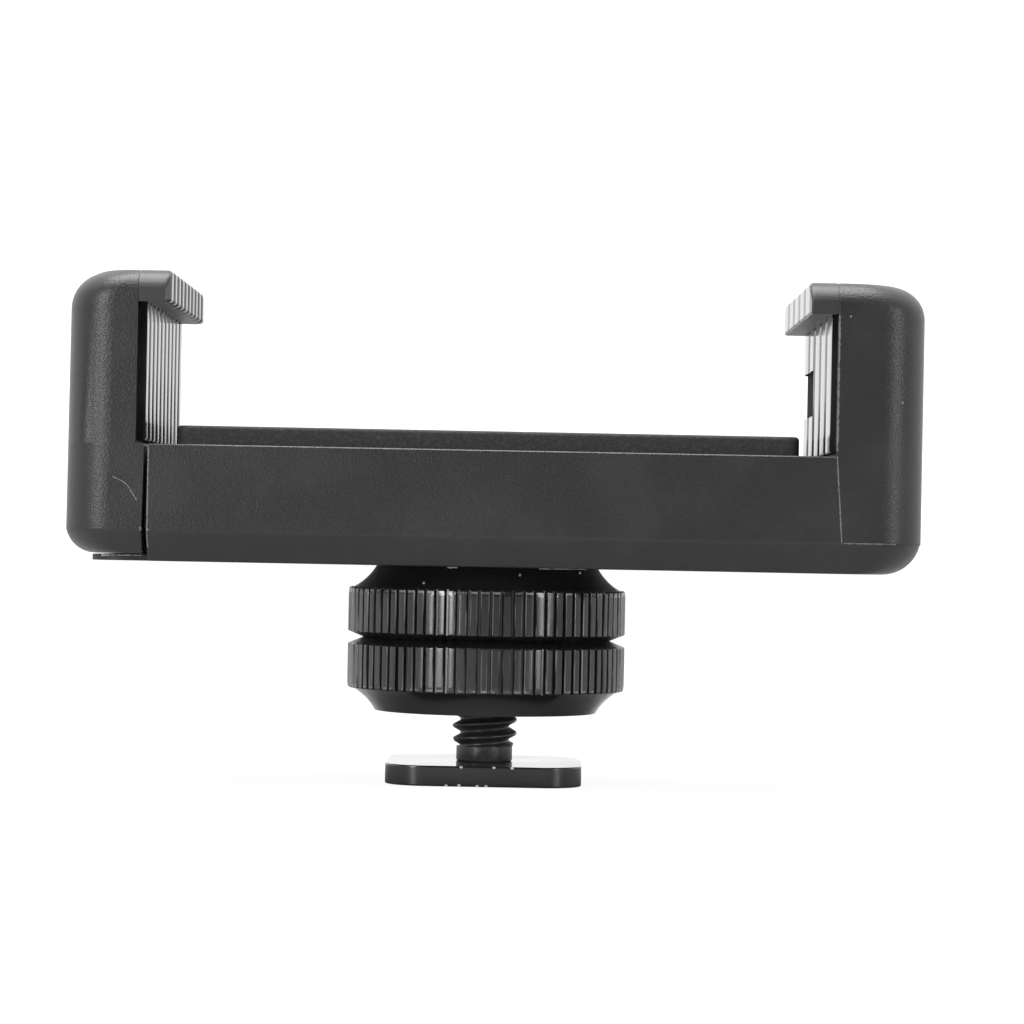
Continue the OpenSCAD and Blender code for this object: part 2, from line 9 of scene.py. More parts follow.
import bpy
import numpy as np
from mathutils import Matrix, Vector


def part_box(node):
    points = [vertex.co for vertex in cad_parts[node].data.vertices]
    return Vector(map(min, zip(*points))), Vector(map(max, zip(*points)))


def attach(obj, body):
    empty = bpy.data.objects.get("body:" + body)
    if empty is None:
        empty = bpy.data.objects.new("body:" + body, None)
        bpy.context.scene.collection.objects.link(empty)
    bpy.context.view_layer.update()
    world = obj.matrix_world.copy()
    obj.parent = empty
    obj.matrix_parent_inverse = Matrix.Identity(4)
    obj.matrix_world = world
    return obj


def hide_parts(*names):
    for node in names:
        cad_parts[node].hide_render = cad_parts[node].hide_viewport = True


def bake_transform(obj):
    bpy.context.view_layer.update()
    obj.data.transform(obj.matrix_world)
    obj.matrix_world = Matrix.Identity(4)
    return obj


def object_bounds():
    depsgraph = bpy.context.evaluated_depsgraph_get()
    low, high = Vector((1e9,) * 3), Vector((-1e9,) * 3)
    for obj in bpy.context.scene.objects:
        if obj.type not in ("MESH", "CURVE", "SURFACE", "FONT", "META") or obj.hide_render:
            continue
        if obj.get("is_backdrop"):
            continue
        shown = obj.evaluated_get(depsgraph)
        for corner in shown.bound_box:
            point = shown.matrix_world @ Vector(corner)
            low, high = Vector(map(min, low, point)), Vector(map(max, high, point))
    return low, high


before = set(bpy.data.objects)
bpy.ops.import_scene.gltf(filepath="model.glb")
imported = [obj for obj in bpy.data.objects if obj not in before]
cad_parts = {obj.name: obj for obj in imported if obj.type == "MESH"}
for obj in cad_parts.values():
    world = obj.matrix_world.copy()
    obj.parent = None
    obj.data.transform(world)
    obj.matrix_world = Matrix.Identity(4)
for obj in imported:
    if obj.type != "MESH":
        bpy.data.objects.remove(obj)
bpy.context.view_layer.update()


# Shoe foot: a square aluminium plate with round corners and softened edges, anodised black.
# It slides in the camera's accessory shoe, and its edges are chipped to the bare metal in a few places.
MM = 0.001


def box_mm(cad_node):
    """Lowest and highest corner of a CAD node, in millimetres."""
    low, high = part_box(cad_node)
    return np.array(low) / MM, np.array(high) / MM


def set_inputs(tree, node, inputs):
    """Sets a node's inputs by socket name or number. A value that is a socket is linked."""
    for key, value in inputs.items():
        if isinstance(value, bpy.types.NodeSocket):
            tree.links.new(value, node.inputs[key])
        else:
            node.inputs[key].default_value = value


def add(tree, kind, inputs=None, **settings):
    """A new shader node with the given settings and inputs."""
    made = tree.nodes.new("ShaderNode" + kind)
    for key, value in settings.items():
        setattr(made, key, value)
    set_inputs(tree, made, inputs or {})
    return made


def calc(tree, operation, a, b=0.0, c=0.0):
    """Output of a Math node on one to three values or sockets."""
    return add(tree, "Math", {0: a, 1: b, 2: c}, operation=operation).outputs[0]


def ramp(tree, value, start, end, low=0.0, high=1.0):
    """Smooth change from low to high while value goes from start to end."""
    spots = {"Value": value, "From Min": start, "From Max": end, "To Min": low, "To Max": high}
    return add(tree, "MapRange", spots, interpolation_type="SMOOTHSTEP").outputs[0]


def blend_colours(tree, share, first, second):
    """The first colour where share is 0 and the second where it is 1."""
    return add(tree, "Mix", {0: share, 6: first, 7: second}, data_type="RGBA").outputs[2]


def effect(name, inputs, outputs):
    """An empty shader node group with the given sockets, its input node's outputs, and its output node."""
    tree = bpy.data.node_groups.new(name, "ShaderNodeTree")
    for socket, kind in inputs.items():
        tree.interface.new_socket(name=socket, in_out="INPUT", socket_type="NodeSocket" + kind)
    for socket, kind in outputs.items():
        tree.interface.new_socket(name=socket, in_out="OUTPUT", socket_type="NodeSocket" + kind)
    return tree, tree.nodes.new("NodeGroupInput").outputs, tree.nodes.new("NodeGroupOutput")


def use(tree, group, inputs):
    """The outputs of a group placed in a material with its own values."""
    placed = tree.nodes.new("ShaderNodeGroup")
    placed.node_tree = group
    set_inputs(tree, placed, inputs)
    return placed.outputs


def fine_grain():
    """Group: the fine texture of a blasted or moulded surface. Height is noise of the given size plus a
    third of noise about twice as fine, and Cloud is slow noise about thirty times as coarse."""
    tree, given, result = effect("fine_grain", {"Place": "Vector", "Per Metre": "Float"},
                                 {"Height": "Float", "Cloud": "Float"})
    coarse = add(tree, "TexNoise", {"Vector": given[0], "Scale": given[1], "Detail": 1.0})
    finer = add(tree, "TexNoise", {"Vector": given[0], "Scale": calc(tree, "MULTIPLY", given[1], 2.1),
                                   "Detail": 1.0})
    slow = add(tree, "TexNoise", {"Vector": given[0], "Scale": calc(tree, "MULTIPLY", given[1], 0.03),
                                  "Detail": 3.0})
    height = calc(tree, "MULTIPLY_ADD", finer.outputs[0], 0.33, coarse.outputs[0])
    tree.links.new(height, result.inputs[0])
    tree.links.new(slow.outputs[0], result.inputs[1])
    return tree


def dust():
    """Group: round specks. Each cell of a Voronoi pattern has one, of the given radius in cells, and the
    cell's own random number keeps only the given share of them."""
    tree, given, result = effect("dust", {"Place": "Vector", "Per Metre": "Float", "Radius": "Float",
                                          "Share": "Float"}, {"Mask": "Float"})
    cells = add(tree, "TexVoronoi", {"Vector": given[0], "Scale": given[1]})
    near = calc(tree, "LESS_THAN", cells.outputs["Distance"], given[2])
    number = add(tree, "SeparateColor", {0: cells.outputs["Color"]}).outputs[0]
    kept = calc(tree, "LESS_THAN", number, given[3])
    tree.links.new(calc(tree, "MULTIPLY", near, kept), result.inputs[0])
    return tree


def front_spot():
    """Group: one worn spot on the side that faces -Y, around a point in X and Z, with a noisy rim. The spot
    stays in front of the given Y."""
    tree, given, result = effect("front_spot", {"Place": "Vector", "Centre": "Vector", "Radius": "Float",
                                               "Before": "Float"}, {"Mask": "Float"})
    flat = add(tree, "VectorMath", {0: given[0], 1: (1, 0, 1)}, operation="MULTIPLY").outputs[0]
    away = add(tree, "VectorMath", {0: flat, 1: given[1]}, operation="DISTANCE").outputs["Value"]
    rough = add(tree, "TexNoise", {"Vector": given[0], "Scale": 9000.0}).outputs[0]
    reach = calc(tree, "MULTIPLY", given[2], calc(tree, "MULTIPLY_ADD", rough, 1.6, 0.2))
    inside = calc(tree, "LESS_THAN", away, reach)
    front = calc(tree, "LESS_THAN", add(tree, "SeparateXYZ", {0: given[0]}).outputs[1], given[3])
    tree.links.new(calc(tree, "MULTIPLY", inside, front), result.inputs[0])
    return tree


def front_line():
    """Group: one worn line on the side that faces -Y, between two points in X and Z. With t the share of the
    way along, held between 0 and 1, it is where the distance to start + t (end - start) is under the width
    times noise."""
    tree, given, result = effect("front_line", {"Place": "Vector", "Start": "Vector", "End": "Vector",
                                                "Width": "Float", "Before": "Float"}, {"Mask": "Float"})
    flat = add(tree, "VectorMath", {0: given[0], 1: (1, 0, 1)}, operation="MULTIPLY").outputs[0]
    off = add(tree, "VectorMath", {0: flat, 1: given[1]}, operation="SUBTRACT").outputs[0]
    run = add(tree, "VectorMath", {0: given[2], 1: given[1]}, operation="SUBTRACT").outputs[0]
    along = add(tree, "VectorMath", {0: off, 1: run}, operation="DOT_PRODUCT").outputs["Value"]
    length = add(tree, "VectorMath", {0: run, 1: run}, operation="DOT_PRODUCT").outputs["Value"]
    share = add(tree, "Math", {0: along, 1: length}, operation="DIVIDE", use_clamp=True).outputs[0]
    nearest = add(tree, "VectorMath", {0: run, "Scale": share}, operation="SCALE").outputs[0]
    away = add(tree, "VectorMath", {0: off, 1: nearest}, operation="DISTANCE").outputs["Value"]
    rough = add(tree, "TexNoise", {"Vector": given[0], "Scale": 3000.0, "Detail": 3.0}).outputs[0]
    reach = calc(tree, "MULTIPLY", given[3], ramp(tree, rough, 0.35, 0.6, 0.35, 1.3))
    inside = calc(tree, "LESS_THAN", away, reach)
    front = calc(tree, "LESS_THAN", add(tree, "SeparateXYZ", {0: given[0]}).outputs[1], given[4])
    tree.links.new(calc(tree, "MULTIPLY", inside, front), result.inputs[0])
    return tree


GRAIN, DUST, FRONT_SPOT, FRONT_LINE = fine_grain(), dust(), front_spot(), front_line()


def material(name, roughness, metallic=0.0):
    """A new material with plain values on its Principled shader; returns it, its tree, shader and place."""
    made = bpy.data.materials.new(name)
    made.use_nodes = True
    tree = made.node_tree
    principled = tree.nodes["Principled BSDF"]
    principled.inputs["Roughness"].default_value = roughness
    principled.inputs["Metallic"].default_value = metallic
    place = add(tree, "TexCoord").outputs["Object"]
    return made, tree, principled, place


def facing(tree, axis, start, end):
    """Mask of the faces whose own normal points along the axis, either way: smooth from start to end."""
    normal = add(tree, "TexCoord").outputs["Normal"]
    part = add(tree, "SeparateXYZ", {0: normal}).outputs[axis]
    return ramp(tree, calc(tree, "ABSOLUTE", part), start, end)


def finish_with(tree, principled, colour, roughness=None, height=None, depth=0.0):
    """Links a colour, and if given a roughness and a height in a Bump node, to the shader."""
    tree.links.new(colour, principled.inputs["Base Color"])
    if roughness is not None:
        tree.links.new(roughness, principled.inputs["Roughness"])
    if height is not None:
        bump = add(tree, "Bump", {"Height": height, "Distance": depth, "Strength": 1.0})
        tree.links.new(bump.outputs[0], principled.inputs["Normal"])


def worn_spots(tree, place, points, radius, before=0.0):
    """Mask of worn spots around points in X and Z, in millimetres, in front of y = before."""
    mask = 0.0
    for x, z in points:
        spot = use(tree, FRONT_SPOT, {0: place, 1: (x * MM, 0, z * MM), 2: radius * MM, 3: before * MM})[0]
        mask = calc(tree, "MAXIMUM", spot, mask)
    return mask


def worn_lines(tree, place, lines, before=0.0):
    """Mask of worn lines (x, z, x, z, width), in millimetres, in front of y = before."""
    mask = 0.0
    for x0, z0, x1, z1, width in lines:
        line = use(tree, FRONT_LINE, {0: place, 1: (x0 * MM, 0, z0 * MM), 2: (x1 * MM, 0, z1 * MM),
                                      3: width * MM, 4: before * MM})[0]
        mask = calc(tree, "MAXIMUM", line, mask)
    return mask


ANODISED_BLACK = (0.014, 0.014, 0.0145, 1)
BARE_ALUMINIUM = (0.75, 0.75, 0.74, 1)
METAL_SPECULAR = 0.8
FOOT_FRONT, CHIP_R = -8.8, 0.14
FOOT_CHIPS = [(-6.87, 1.78), (-1.99, 1.84), (1.05, 1.84), (2.71, 1.82), (-3.34, 0.06), (-2.15, 0.1),
              (-0.49, 0.05), (0.34, 0.06)]
anodised, tree, principled, place = material("black_anodised", 0.2)
principled.inputs["Specular IOR Level"].default_value = METAL_SPECULAR
grain = use(tree, GRAIN, {"Place": place, "Per Metre": 5200.0})
chips = worn_spots(tree, place, FOOT_CHIPS, CHIP_R, FOOT_FRONT)
rough = ramp(tree, grain["Cloud"], 0.35, 0.65, 0.18, 0.26)
rough = calc(tree, "MULTIPLY_ADD", facing(tree, 2, 0.6, 0.95), -0.13, rough)
finish_with(tree, principled, blend_colours(tree, chips, ANODISED_BLACK, BARE_ALUMINIUM), rough,
            grain["Height"], 0.000002)


def put_in(name, shape, body, look, replaced=(), sharp=40):
    """Puts in a piece from (points in millimetres, faces), smooth up to the sharp angle. It rides on the CAD
    body, or on none."""
    points, faces = shape
    mesh = bpy.data.meshes.new(name)
    mesh.from_pydata((np.asarray(points, float) * MM).tolist(), [], faces)
    mesh.shade_smooth()
    mesh.set_sharp_from_angle(angle=math.radians(sharp))
    mesh.materials.append(look)
    piece = bpy.data.objects.new(name, mesh)
    bpy.context.scene.collection.objects.link(piece)
    if body:
        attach(piece, body)
    if replaced:
        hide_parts(*replaced)
    return piece


def grid_faces(rows, columns, closed=True):
    """Quads of a grid whose point (i, j) is number i * columns + j. If closed, the last column joins the
    first."""
    i, j = np.meshgrid(np.arange(rows - 1), np.arange(columns if closed else columns - 1), indexing="ij")
    k = (j + 1) % columns
    corners = [i * columns + j, i * columns + k, (i + 1) * columns + k, (i + 1) * columns + j]
    return np.stack(corners, axis=-1).reshape(-1, 4).tolist()


HOLD = 0.04


def softened(corners, radii, steps=6):
    """Polyline whose inner corners are arcs of the given radii, tangent to both sides. A point HOLD beyond
    each end of an arc keeps the shading of the flat parts flat."""
    corners = [np.array(c, float) for c in corners]
    path = [corners[0]]
    for before, corner, after, r in zip(corners, corners[1:], corners[2:], radii):
        back = (before - corner) / np.linalg.norm(before - corner)
        ahead = (after - corner) / np.linalg.norm(after - corner)
        half = math.acos(np.clip(back @ ahead, -1, 1)) / 2
        reach = r / math.tan(half)
        centre = corner + (back + ahead) / np.linalg.norm(back + ahead) * r / math.sin(half)
        spoke = corner + back * reach - centre
        start = math.atan2(spoke[1], spoke[0])
        spoke = corner + ahead * reach - centre
        turn = (math.atan2(spoke[1], spoke[0]) - start + math.pi) % (2 * math.pi) - math.pi
        path.append(corner + back * (reach + HOLD))
        for t in start + turn * np.linspace(0, 1, steps + 1):
            path.append(centre + r * np.array([math.cos(t), math.sin(t)]))
        path.append(corner + ahead * (reach + HOLD))
    path.append(corners[-1])
    return np.array(path)


CORNER_STEPS = 12


def plan_ring(x0, x1, half, r0, r1):
    """Plan outline, anticlockwise: corner centre + r (cos t, sin t) at each of the four corners, with a
    point HOLD beyond each end of an arc."""
    turn = np.radians(np.linspace(0, 90, CORNER_STEPS + 1))
    corners = [(x1 - r1, -half + r1, r1, -90), (x1 - r1, half - r1, r1, 0),
               (x0 + r0, half - r0, r0, 90), (x0 + r0, -half + r0, r0, 180)]
    parts = []
    for x, y, r, start in corners:
        t = turn + math.radians(start)
        arc = np.stack([x + r * np.cos(t), y + r * np.sin(t)], axis=-1)
        first = arc[0] - HOLD * np.array([-math.sin(t[0]), math.cos(t[0])])
        last = arc[-1] + HOLD * np.array([-math.sin(t[-1]), math.cos(t[-1])])
        parts += [first[None], arc, last[None]]
    return np.concatenate(parts)


def stacked(levels):
    """Skin over plan outlines, one above the other, with flat ends. A level is (z, x0, x1, half, r0, r1)."""
    rings = []
    for z, *outline in levels:
        ring = plan_ring(*outline)
        rings.append(np.column_stack([ring, np.full(len(ring), z)]))
    columns = len(rings[0])
    points = np.concatenate(rings)
    return points, closed_ends(grid_faces(len(rings), columns), len(points), columns)


def slab(low, high, side, corner):
    """Flat slab between two corners: its edge follows side, an (inset, height) path, and its plan corners
    have the radius corner less the inset."""
    levels = []
    for inset, z in side:
        levels.append((low[2] + z, low[0] + inset, high[0] - inset, high[1] - inset, corner - inset,
                       corner - inset))
    return stacked(levels)


def turned(profile, columns, centre=(0, 0)):
    """Solid of revolution about Z: radius and height of the (radius, z) profile, which starts and ends on or
    close to the axis, carried round in equal steps."""
    profile = np.array(profile, float)
    angle = 2 * math.pi * np.arange(columns) / columns
    x = centre[0] + profile[:, :1] * np.cos(angle)
    y = centre[1] + profile[:, :1] * np.sin(angle)
    z = np.repeat(profile[:, 1:], columns, axis=1)
    points = np.stack([x, y, z], axis=-1).reshape(-1, 3)
    return points, closed_ends(grid_faces(len(profile), columns), len(points), columns)


def closed_ends(faces, count, columns):
    """Adds the first and the last ring as flat ends."""
    faces.append(list(range(columns))[::-1])
    faces.append(list(range(count - columns, count)))
    return faces


def block(low, high):
    """A plain box between two corners, as a cutter."""
    (x0, y0, z0), (x1, y1, z1) = low, high
    ring = [(x0, y0), (x1, y0), (x1, y1), (x0, y1)]
    points = [(x, y, z) for z in (z0, z1) for x, y in ring]
    return np.array(points, float), closed_ends(grid_faces(2, 4), 8, 4)


def carve(piece, shapes, sharp=40):
    """Cuts closed shapes, in millimetres, out of a piece."""
    cutters = []
    for points, faces in shapes:
        mesh = bpy.data.meshes.new("cutter")
        mesh.from_pydata((points * MM).tolist(), [], faces)
        cutter = bpy.data.objects.new("cutter", mesh)
        bpy.context.scene.collection.objects.link(cutter)
        cut = piece.modifiers.new("cut", "BOOLEAN")
        cut.object = cutter
        cut.solver = "EXACT"
        cutters.append(cutter)
    bpy.context.view_layer.update()
    carved = bpy.data.meshes.new_from_object(piece.evaluated_get(bpy.context.evaluated_depsgraph_get()))
    piece.modifiers.clear()
    piece.data = carved
    for cutter in cutters:
        bpy.data.objects.remove(cutter)
    carved.set_sharp_from_angle(angle=math.radians(sharp))


FOOT_EDGE = 0.14
FOOT_CORNER = 3.8
RIVET_R, RIVET_SINK = 2.9, 0.7
foot_low, foot_high = box_mm("shoe_foot")
foot_top = foot_high[2]
foot_side = softened([(2, 0), (0, 0), (0, foot_top), (2, foot_top)], [FOOT_EDGE] * 2, 5)
foot_shape = slab(foot_low, foot_high, foot_side[1:-1], FOOT_CORNER)
foot = put_in("foot", foot_shape, "adapter", anodised, ["shoe_foot"])
carve(foot, [turned([(RIVET_R + 0.15, -0.1), (RIVET_R + 0.05, 0), (RIVET_R - RIVET_SINK, RIVET_SINK)], 48)])


# Stud: a turned rod with a quarter-inch thread and a plain neck. Its lower end is riveted into the foot,
# and the two thumb nuts and the clamp run on its thread.
STUD_BLACK = (0.03, 0.029, 0.028, 1)
STUD_RUBBED = (0.08, 0.077, 0.072, 1)
THREAD_PITCH = 1.27
THREAD_DEPTH = 0.74
THREAD_PHASE = 0.41
THREAD_LEAD_IN = 0.8
THREAD_COLUMNS = 72
CREST_WEAR = 0.08
NECK_R, NECK_H = 2.65, 1.4
stud_high = box_mm("stud")[1]
stud_r = stud_high[0] - CREST_WEAR
neck_top = foot_top + NECK_H
blackened, tree, principled, place = material("blackened_stud", 0.4)
principled.inputs["Specular IOR Level"].default_value = METAL_SPECULAR
grain = use(tree, GRAIN, {"Place": place, "Per Metre": 3600.0})
colour = blend_colours(tree, ramp(tree, grain["Cloud"], 0.45, 0.7), STUD_BLACK, STUD_RUBBED)
finish_with(tree, principled, colour, ramp(tree, grain["Height"], 0.5, 0.9, 0.3, 0.5), grain["Height"],
            0.00002)


def thread_shape(r_out, z0, z1, pitch, depth, lead_in, rows_per_turn=16):
    """Right-hand thread as a grid: r = r_out - depth * dip(z / pitch - angle / turn), where dip is 0 on a
    narrow crest and 1 in a round root, and the crest fades in over lead_in at the lower end."""
    rows = int((z1 - z0) / pitch * rows_per_turn)
    z, turn = np.meshgrid(np.linspace(z0, z1, rows), np.arange(THREAD_COLUMNS) / THREAD_COLUMNS,
                          indexing="ij")
    phase = (z / pitch - turn + THREAD_PHASE) % 1
    dip = np.clip(np.minimum(phase, 1 - phase) / 0.5 * 1.3 - 0.1, 0, 1.08)
    dip = np.where(dip > 0.85, 0.85 + 0.15 * np.sin((dip - 0.85) / 0.23 * math.pi / 2), dip)
    dip = np.where(dip < 0.3, dip**2 / 0.6, dip - 0.15) / 0.85
    r = r_out - depth * dip
    r = np.minimum(r, NECK_R + (z - z0) * (r_out - NECK_R) / lead_in)
    r = np.minimum(r, r_out - 0.55 + (z1 - z) * 1.0)
    angle = 2 * math.pi * turn
    return np.stack([r * np.cos(angle), r * np.sin(angle), z], axis=-1).reshape(-1, 3)


neck = turned([(RIVET_R - 0.1, 0.0), (RIVET_R, 0.03), (RIVET_R - RIVET_SINK, RIVET_SINK),
               (RIVET_R - RIVET_SINK, foot_top - 0.1), (NECK_R - 0.1, foot_top + 0.01),
               (NECK_R, foot_top + 0.12), (NECK_R, neck_top - 0.04), (NECK_R, neck_top - 0.02)],
              THREAD_COLUMNS)[0]
thread = thread_shape(stud_r, neck_top, stud_high[2], THREAD_PITCH, THREAD_DEPTH,
                      THREAD_LEAD_IN)
stud_points = np.concatenate([neck, thread])
stud_faces = grid_faces(len(stud_points) // THREAD_COLUMNS, THREAD_COLUMNS)
put_in("threaded_stud", (stud_points, closed_ends(stud_faces, len(stud_points), THREAD_COLUMNS)),
       "adapter", blackened, ["stud"], 55)


# Thumb nuts: two equal turned and knurled aluminium nuts, face to face. The lower one clamps the shoe's
# rails against the foot, and the upper one locks the clamp.
KNURL_RIBS = 80
KNURL_DEPTH = 0.42
RIB_FLAT, RIB_BEVEL, RIB_FOOT = 0.29, 0.345, 0.43
BEVEL_DROP = 0.075
NUT_WORN = (0.2, 0.2, 0.2, 1)
NUT_FRONT = -5.0
COVE_SPECKS = [(-5.72, 18.72), (3.1, 19.63), (8.66, 19.89)]
# Painted highlights: two thin pale lines on the upper nut's top rim stand in for glints.
FACE_GLINT_LINES = [(-3.5, 20.2, -2.7, 20.2, 0.06), (4.9, 20.22, 9.2, 20.24, 0.045)]
RIB_EDGE, RIB_EDGE_W = 0.315, 0.035
RIB_END, RIB_END_W = 0.335, 0.022
RING_MIDDLE, RING_W = 0.615, 0.285
FACE_R = 10.45
COVE_H = 2.1
COVE_R = 5.5
COVE_LEAN = math.radians(30)
BORE_R = 3.25
nut_low, nut_high = box_mm("lower_thumb_nut")
nut_r = nut_high[0]
nut_h = nut_high[2] - nut_low[2]
ring_top = nut_h - 0.6


def nut_profile():
    """(radius, z) outline of a nut from its bore round its face, cove, ring and chamfer and back."""
    centre = np.array([FACE_R + COVE_R * math.cos(COVE_LEAN), -COVE_R * math.sin(COVE_LEAN)])
    top = math.asin((COVE_H - centre[1]) / COVE_R)
    turn = np.linspace(COVE_LEAN, top, 11)
    cove = np.stack([centre[0] - COVE_R * np.cos(turn), centre[1] + COVE_R * np.sin(turn)], axis=-1)
    ring = softened([cove[-1], (nut_r - 0.06, COVE_H), (nut_r, COVE_H + 0.56), (nut_r, ring_top),
                     (nut_r - 1.45, nut_h)], [0.2, 0.5, 0.12], 5)
    face = [(BORE_R, nut_h - 0.03), (BORE_R, 0.03), (FACE_R - 0.6, 0), (FACE_R - 0.2, 0.0),
            (FACE_R - 0.06, 0.03)]
    return np.concatenate([face, cove, ring[1:-1], [(nut_r - 1.45, nut_h), (BORE_R, nut_h - 0.03)]])


def knurled_nut():
    """Nut as a grid: radius = the smaller of the turned profile and the knurl. Across a rib, the knurl is flat
    to RIB_FLAT of the pitch, falls BEVEL_DROP to RIB_BEVEL and KNURL_DEPTH to RIB_FOOT. Each rib has its own
    width and its own small drop at either side. Also returns each point's place across the knurl and up."""
    profile = nut_profile()
    random = np.random.default_rng(11)
    width = random.uniform(0.82, 1.1, (KNURL_RIBS, 1))
    lean = random.uniform(-0.05, 0.05, (KNURL_RIBS, 1))
    half = np.array([-0.5, -RIB_FOOT, -RIB_BEVEL, -RIB_FLAT, -RIB_FLAT / 2, RIB_FLAT / 2, RIB_FLAT, RIB_BEVEL,
                     RIB_FOOT])
    drop = np.array([KNURL_DEPTH, KNURL_DEPTH, BEVEL_DROP, 0, 0, 0, 0, BEVEL_DROP, KNURL_DEPTH])
    off = np.where(abs(half) < 0.5, half * width, half)
    share = (np.arange(KNURL_RIBS)[:, None] + off).ravel()
    fall = (drop + np.clip(lean * half / RIB_FLAT, 0, 1) * (drop < KNURL_DEPTH)).ravel()
    angle = 2 * math.pi * share / KNURL_RIBS
    knurl = nut_r + 0.01 - fall
    r = np.minimum(profile[:, :1], np.where(profile[:, :1] > FACE_R + 1, knurl[None, :], 99))
    z = np.repeat(profile[:, 1:], len(share), axis=1)
    points = np.stack([r * np.cos(angle), r * np.sin(angle), z], axis=-1)
    across = np.tile((np.tile(half, KNURL_RIBS) + 0.5)[None, :], (len(profile), 1))
    place = np.stack([across, z / nut_h], axis=-1)
    return points.reshape(-1, 3), grid_faces(len(profile), len(share)), place.reshape(-1, 2)


def lay_uv(piece, values):
    """Gives a piece a UV map from one (u, v) for each point."""
    mesh = piece.data
    point = np.zeros(len(mesh.loops), np.int32)
    mesh.loops.foreach_get("vertex_index", point)
    mesh.uv_layers.new(name="across_and_up").data.foreach_set("uv", values[point].astype(np.float32).ravel())


def band(tree, value, middle, half):
    """Mask: 1 where |value - middle| is under half, which is half the band's width."""
    return calc(tree, "LESS_THAN", calc(tree, "ABSOLUTE", calc(tree, "SUBTRACT", value, middle)), half)


knurl_look, tree, principled, place = material("knurled_anodised", 0.2)
principled.inputs["Specular IOR Level"].default_value = METAL_SPECULAR
grain = use(tree, GRAIN, {"Place": place, "Per Metre": 5200.0})
across_and_up = add(tree, "UVMap", uv_map="across_and_up").outputs[0]
u, v = add(tree, "SeparateXYZ", {0: across_and_up}).outputs[:2]
from_rib = calc(tree, "ABSOLUTE", calc(tree, "SUBTRACT", u, 0.5))
on_edge = band(tree, from_rib, RIB_EDGE, RIB_EDGE_W)
rib_end = band(tree, v, RIB_END, RIB_END_W)
rib_end = calc(tree, "MULTIPLY", rib_end, calc(tree, "LESS_THAN", from_rib, RIB_BEVEL))
on_ring = band(tree, v, RING_MIDDLE, RING_W)
flat_turn = add(tree, "VectorMath", {0: place, 1: (1, 1, 0.2)}, operation="MULTIPLY").outputs[0]
patchy = add(tree, "TexNoise", {"Vector": flat_turn, "Scale": 900.0, "Detail": 2.0}).outputs[0]
edge_wear = calc(tree, "MULTIPLY", calc(tree, "MAXIMUM", on_edge, rib_end), ramp(tree, patchy, 0.4, 0.62))
edge_wear = calc(tree, "MULTIPLY", edge_wear, on_ring)
# Pale specks on the upper nut's cove, and the painted highlight lines on its top rim, both in bare-aluminium
# colour.
specks_and_glints = calc(tree, "MAXIMUM", worn_spots(tree, place, COVE_SPECKS, 0.1, NUT_FRONT),
              worn_lines(tree, place, FACE_GLINT_LINES, NUT_FRONT))
colour = blend_colours(tree, edge_wear, ANODISED_BLACK, NUT_WORN)
finish_with(tree, principled, blend_colours(tree, specks_and_glints, colour, BARE_ALUMINIUM),
            ramp(tree, grain["Cloud"], 0.35, 0.65, 0.16, 0.26), grain["Height"], 0.000003)
nut_points, nut_faces, nut_places = knurled_nut()
clamp_z = box_mm("upper_thumb_nut")[1][2]
lower_nut = put_in("lower_nut_knurled", (nut_points + [0, 0, nut_low[2]], nut_faces), "lower_nut",
                   knurl_look, ["lower_thumb_nut"], 24)
upper_nut = put_in("upper_nut_knurled", (nut_points * [1, -1, -1] + [0, 0, clamp_z], nut_faces), "upper_nut",
                   knurl_look, ["upper_thumb_nut"], 24)
lay_uv(lower_nut, nut_places)
lay_uv(upper_nut, nut_places)


# Housing: the clamp's long body, moulded in black plastic with a fine blasted texture. Its underside is
# bevelled, a low ledge at its right end carries the fixed jaw, and it is hollow for the tongue.
PLASTIC_BLACK = (0.02, 0.02, 0.0205, 1)
PLASTIC_RUBBED = (0.026, 0.026, 0.026, 1)
EDGE_RUBBED = (0.16, 0.158, 0.15, 1)
SCRATCH_GREY = (0.3, 0.3, 0.29, 1)
SCRATCH_LINES = [(-33.76, 27.87, -32.79, 27.43, 0.025), (-32.79, 27.43, -32.42, 27.12, 0.035),
                 (-32.42, 27.12, -31.55, 25.8, 0.035)]
JAW_SPECKS = [(32.47, 43.55), (37.32, 35.87), (-30.49, 23.13)]
CLAMP_D = 32.0
HALF = CLAMP_D / 2
JAW_FRONT = 1 - HALF
BEVEL_W, BEVEL_H = 1.8, 2.7
BEVEL_EDGES = [0.3, 0.7]
PLAN_R = 4.3
SMALL_EDGE = 0.22
SEAM_EDGE = 0.07
PARTING_EDGE = 0.1
SEAM_LEAN = 0.55
SLIT_LEAN = 0.17
LOW_CORNER_R = 3.2
ROOF_GAP = 0.2
CHANNEL_WALL = 5.6
PLATE_T = 1.8
house_low, house_high = box_mm("housing")
body_top = house_high[2] - clamp_z
fixed_low, fixed_high = box_mm("fixed_jaw")
seam_x = fixed_low[0]
tongue_high = box_mm("tongue")[1]
plate_high = box_mm("base_plate")[1]
seam_z = clamp_z + BEVEL_H
RUBBED_LINES = [(house_low[0] + 0.06, clamp_z + 0.4, house_low[0] + 0.06, house_high[2] - 0.3, 0.07),
                (seam_x + 0.08, house_high[2] + 0.6, seam_x + 0.08, fixed_high[2] - 3.2, 0.09),
                (seam_x + SEAM_LEAN + 0.08, seam_z + 0.1, seam_x + 0.08, house_high[2], 0.055),
                (seam_x + SEAM_LEAN + 0.3, seam_z + 0.08, seam_x + 5.5, seam_z + 0.08, 0.05),
                (-31.2, seam_z + 0.1, -31.2, seam_z + 0.25, 0.11)]
plastic, tree, principled, place = material("moulded_plastic", 0.42)
grain = use(tree, GRAIN, {"Place": place, "Per Metre": 5600.0})
lint = use(tree, DUST, {"Place": place, "Per Metre": 210.0, "Radius": 0.035, "Share": 0.02})["Mask"]
lint = calc(tree, "MAXIMUM", lint, worn_spots(tree, place, JAW_SPECKS, 0.09))
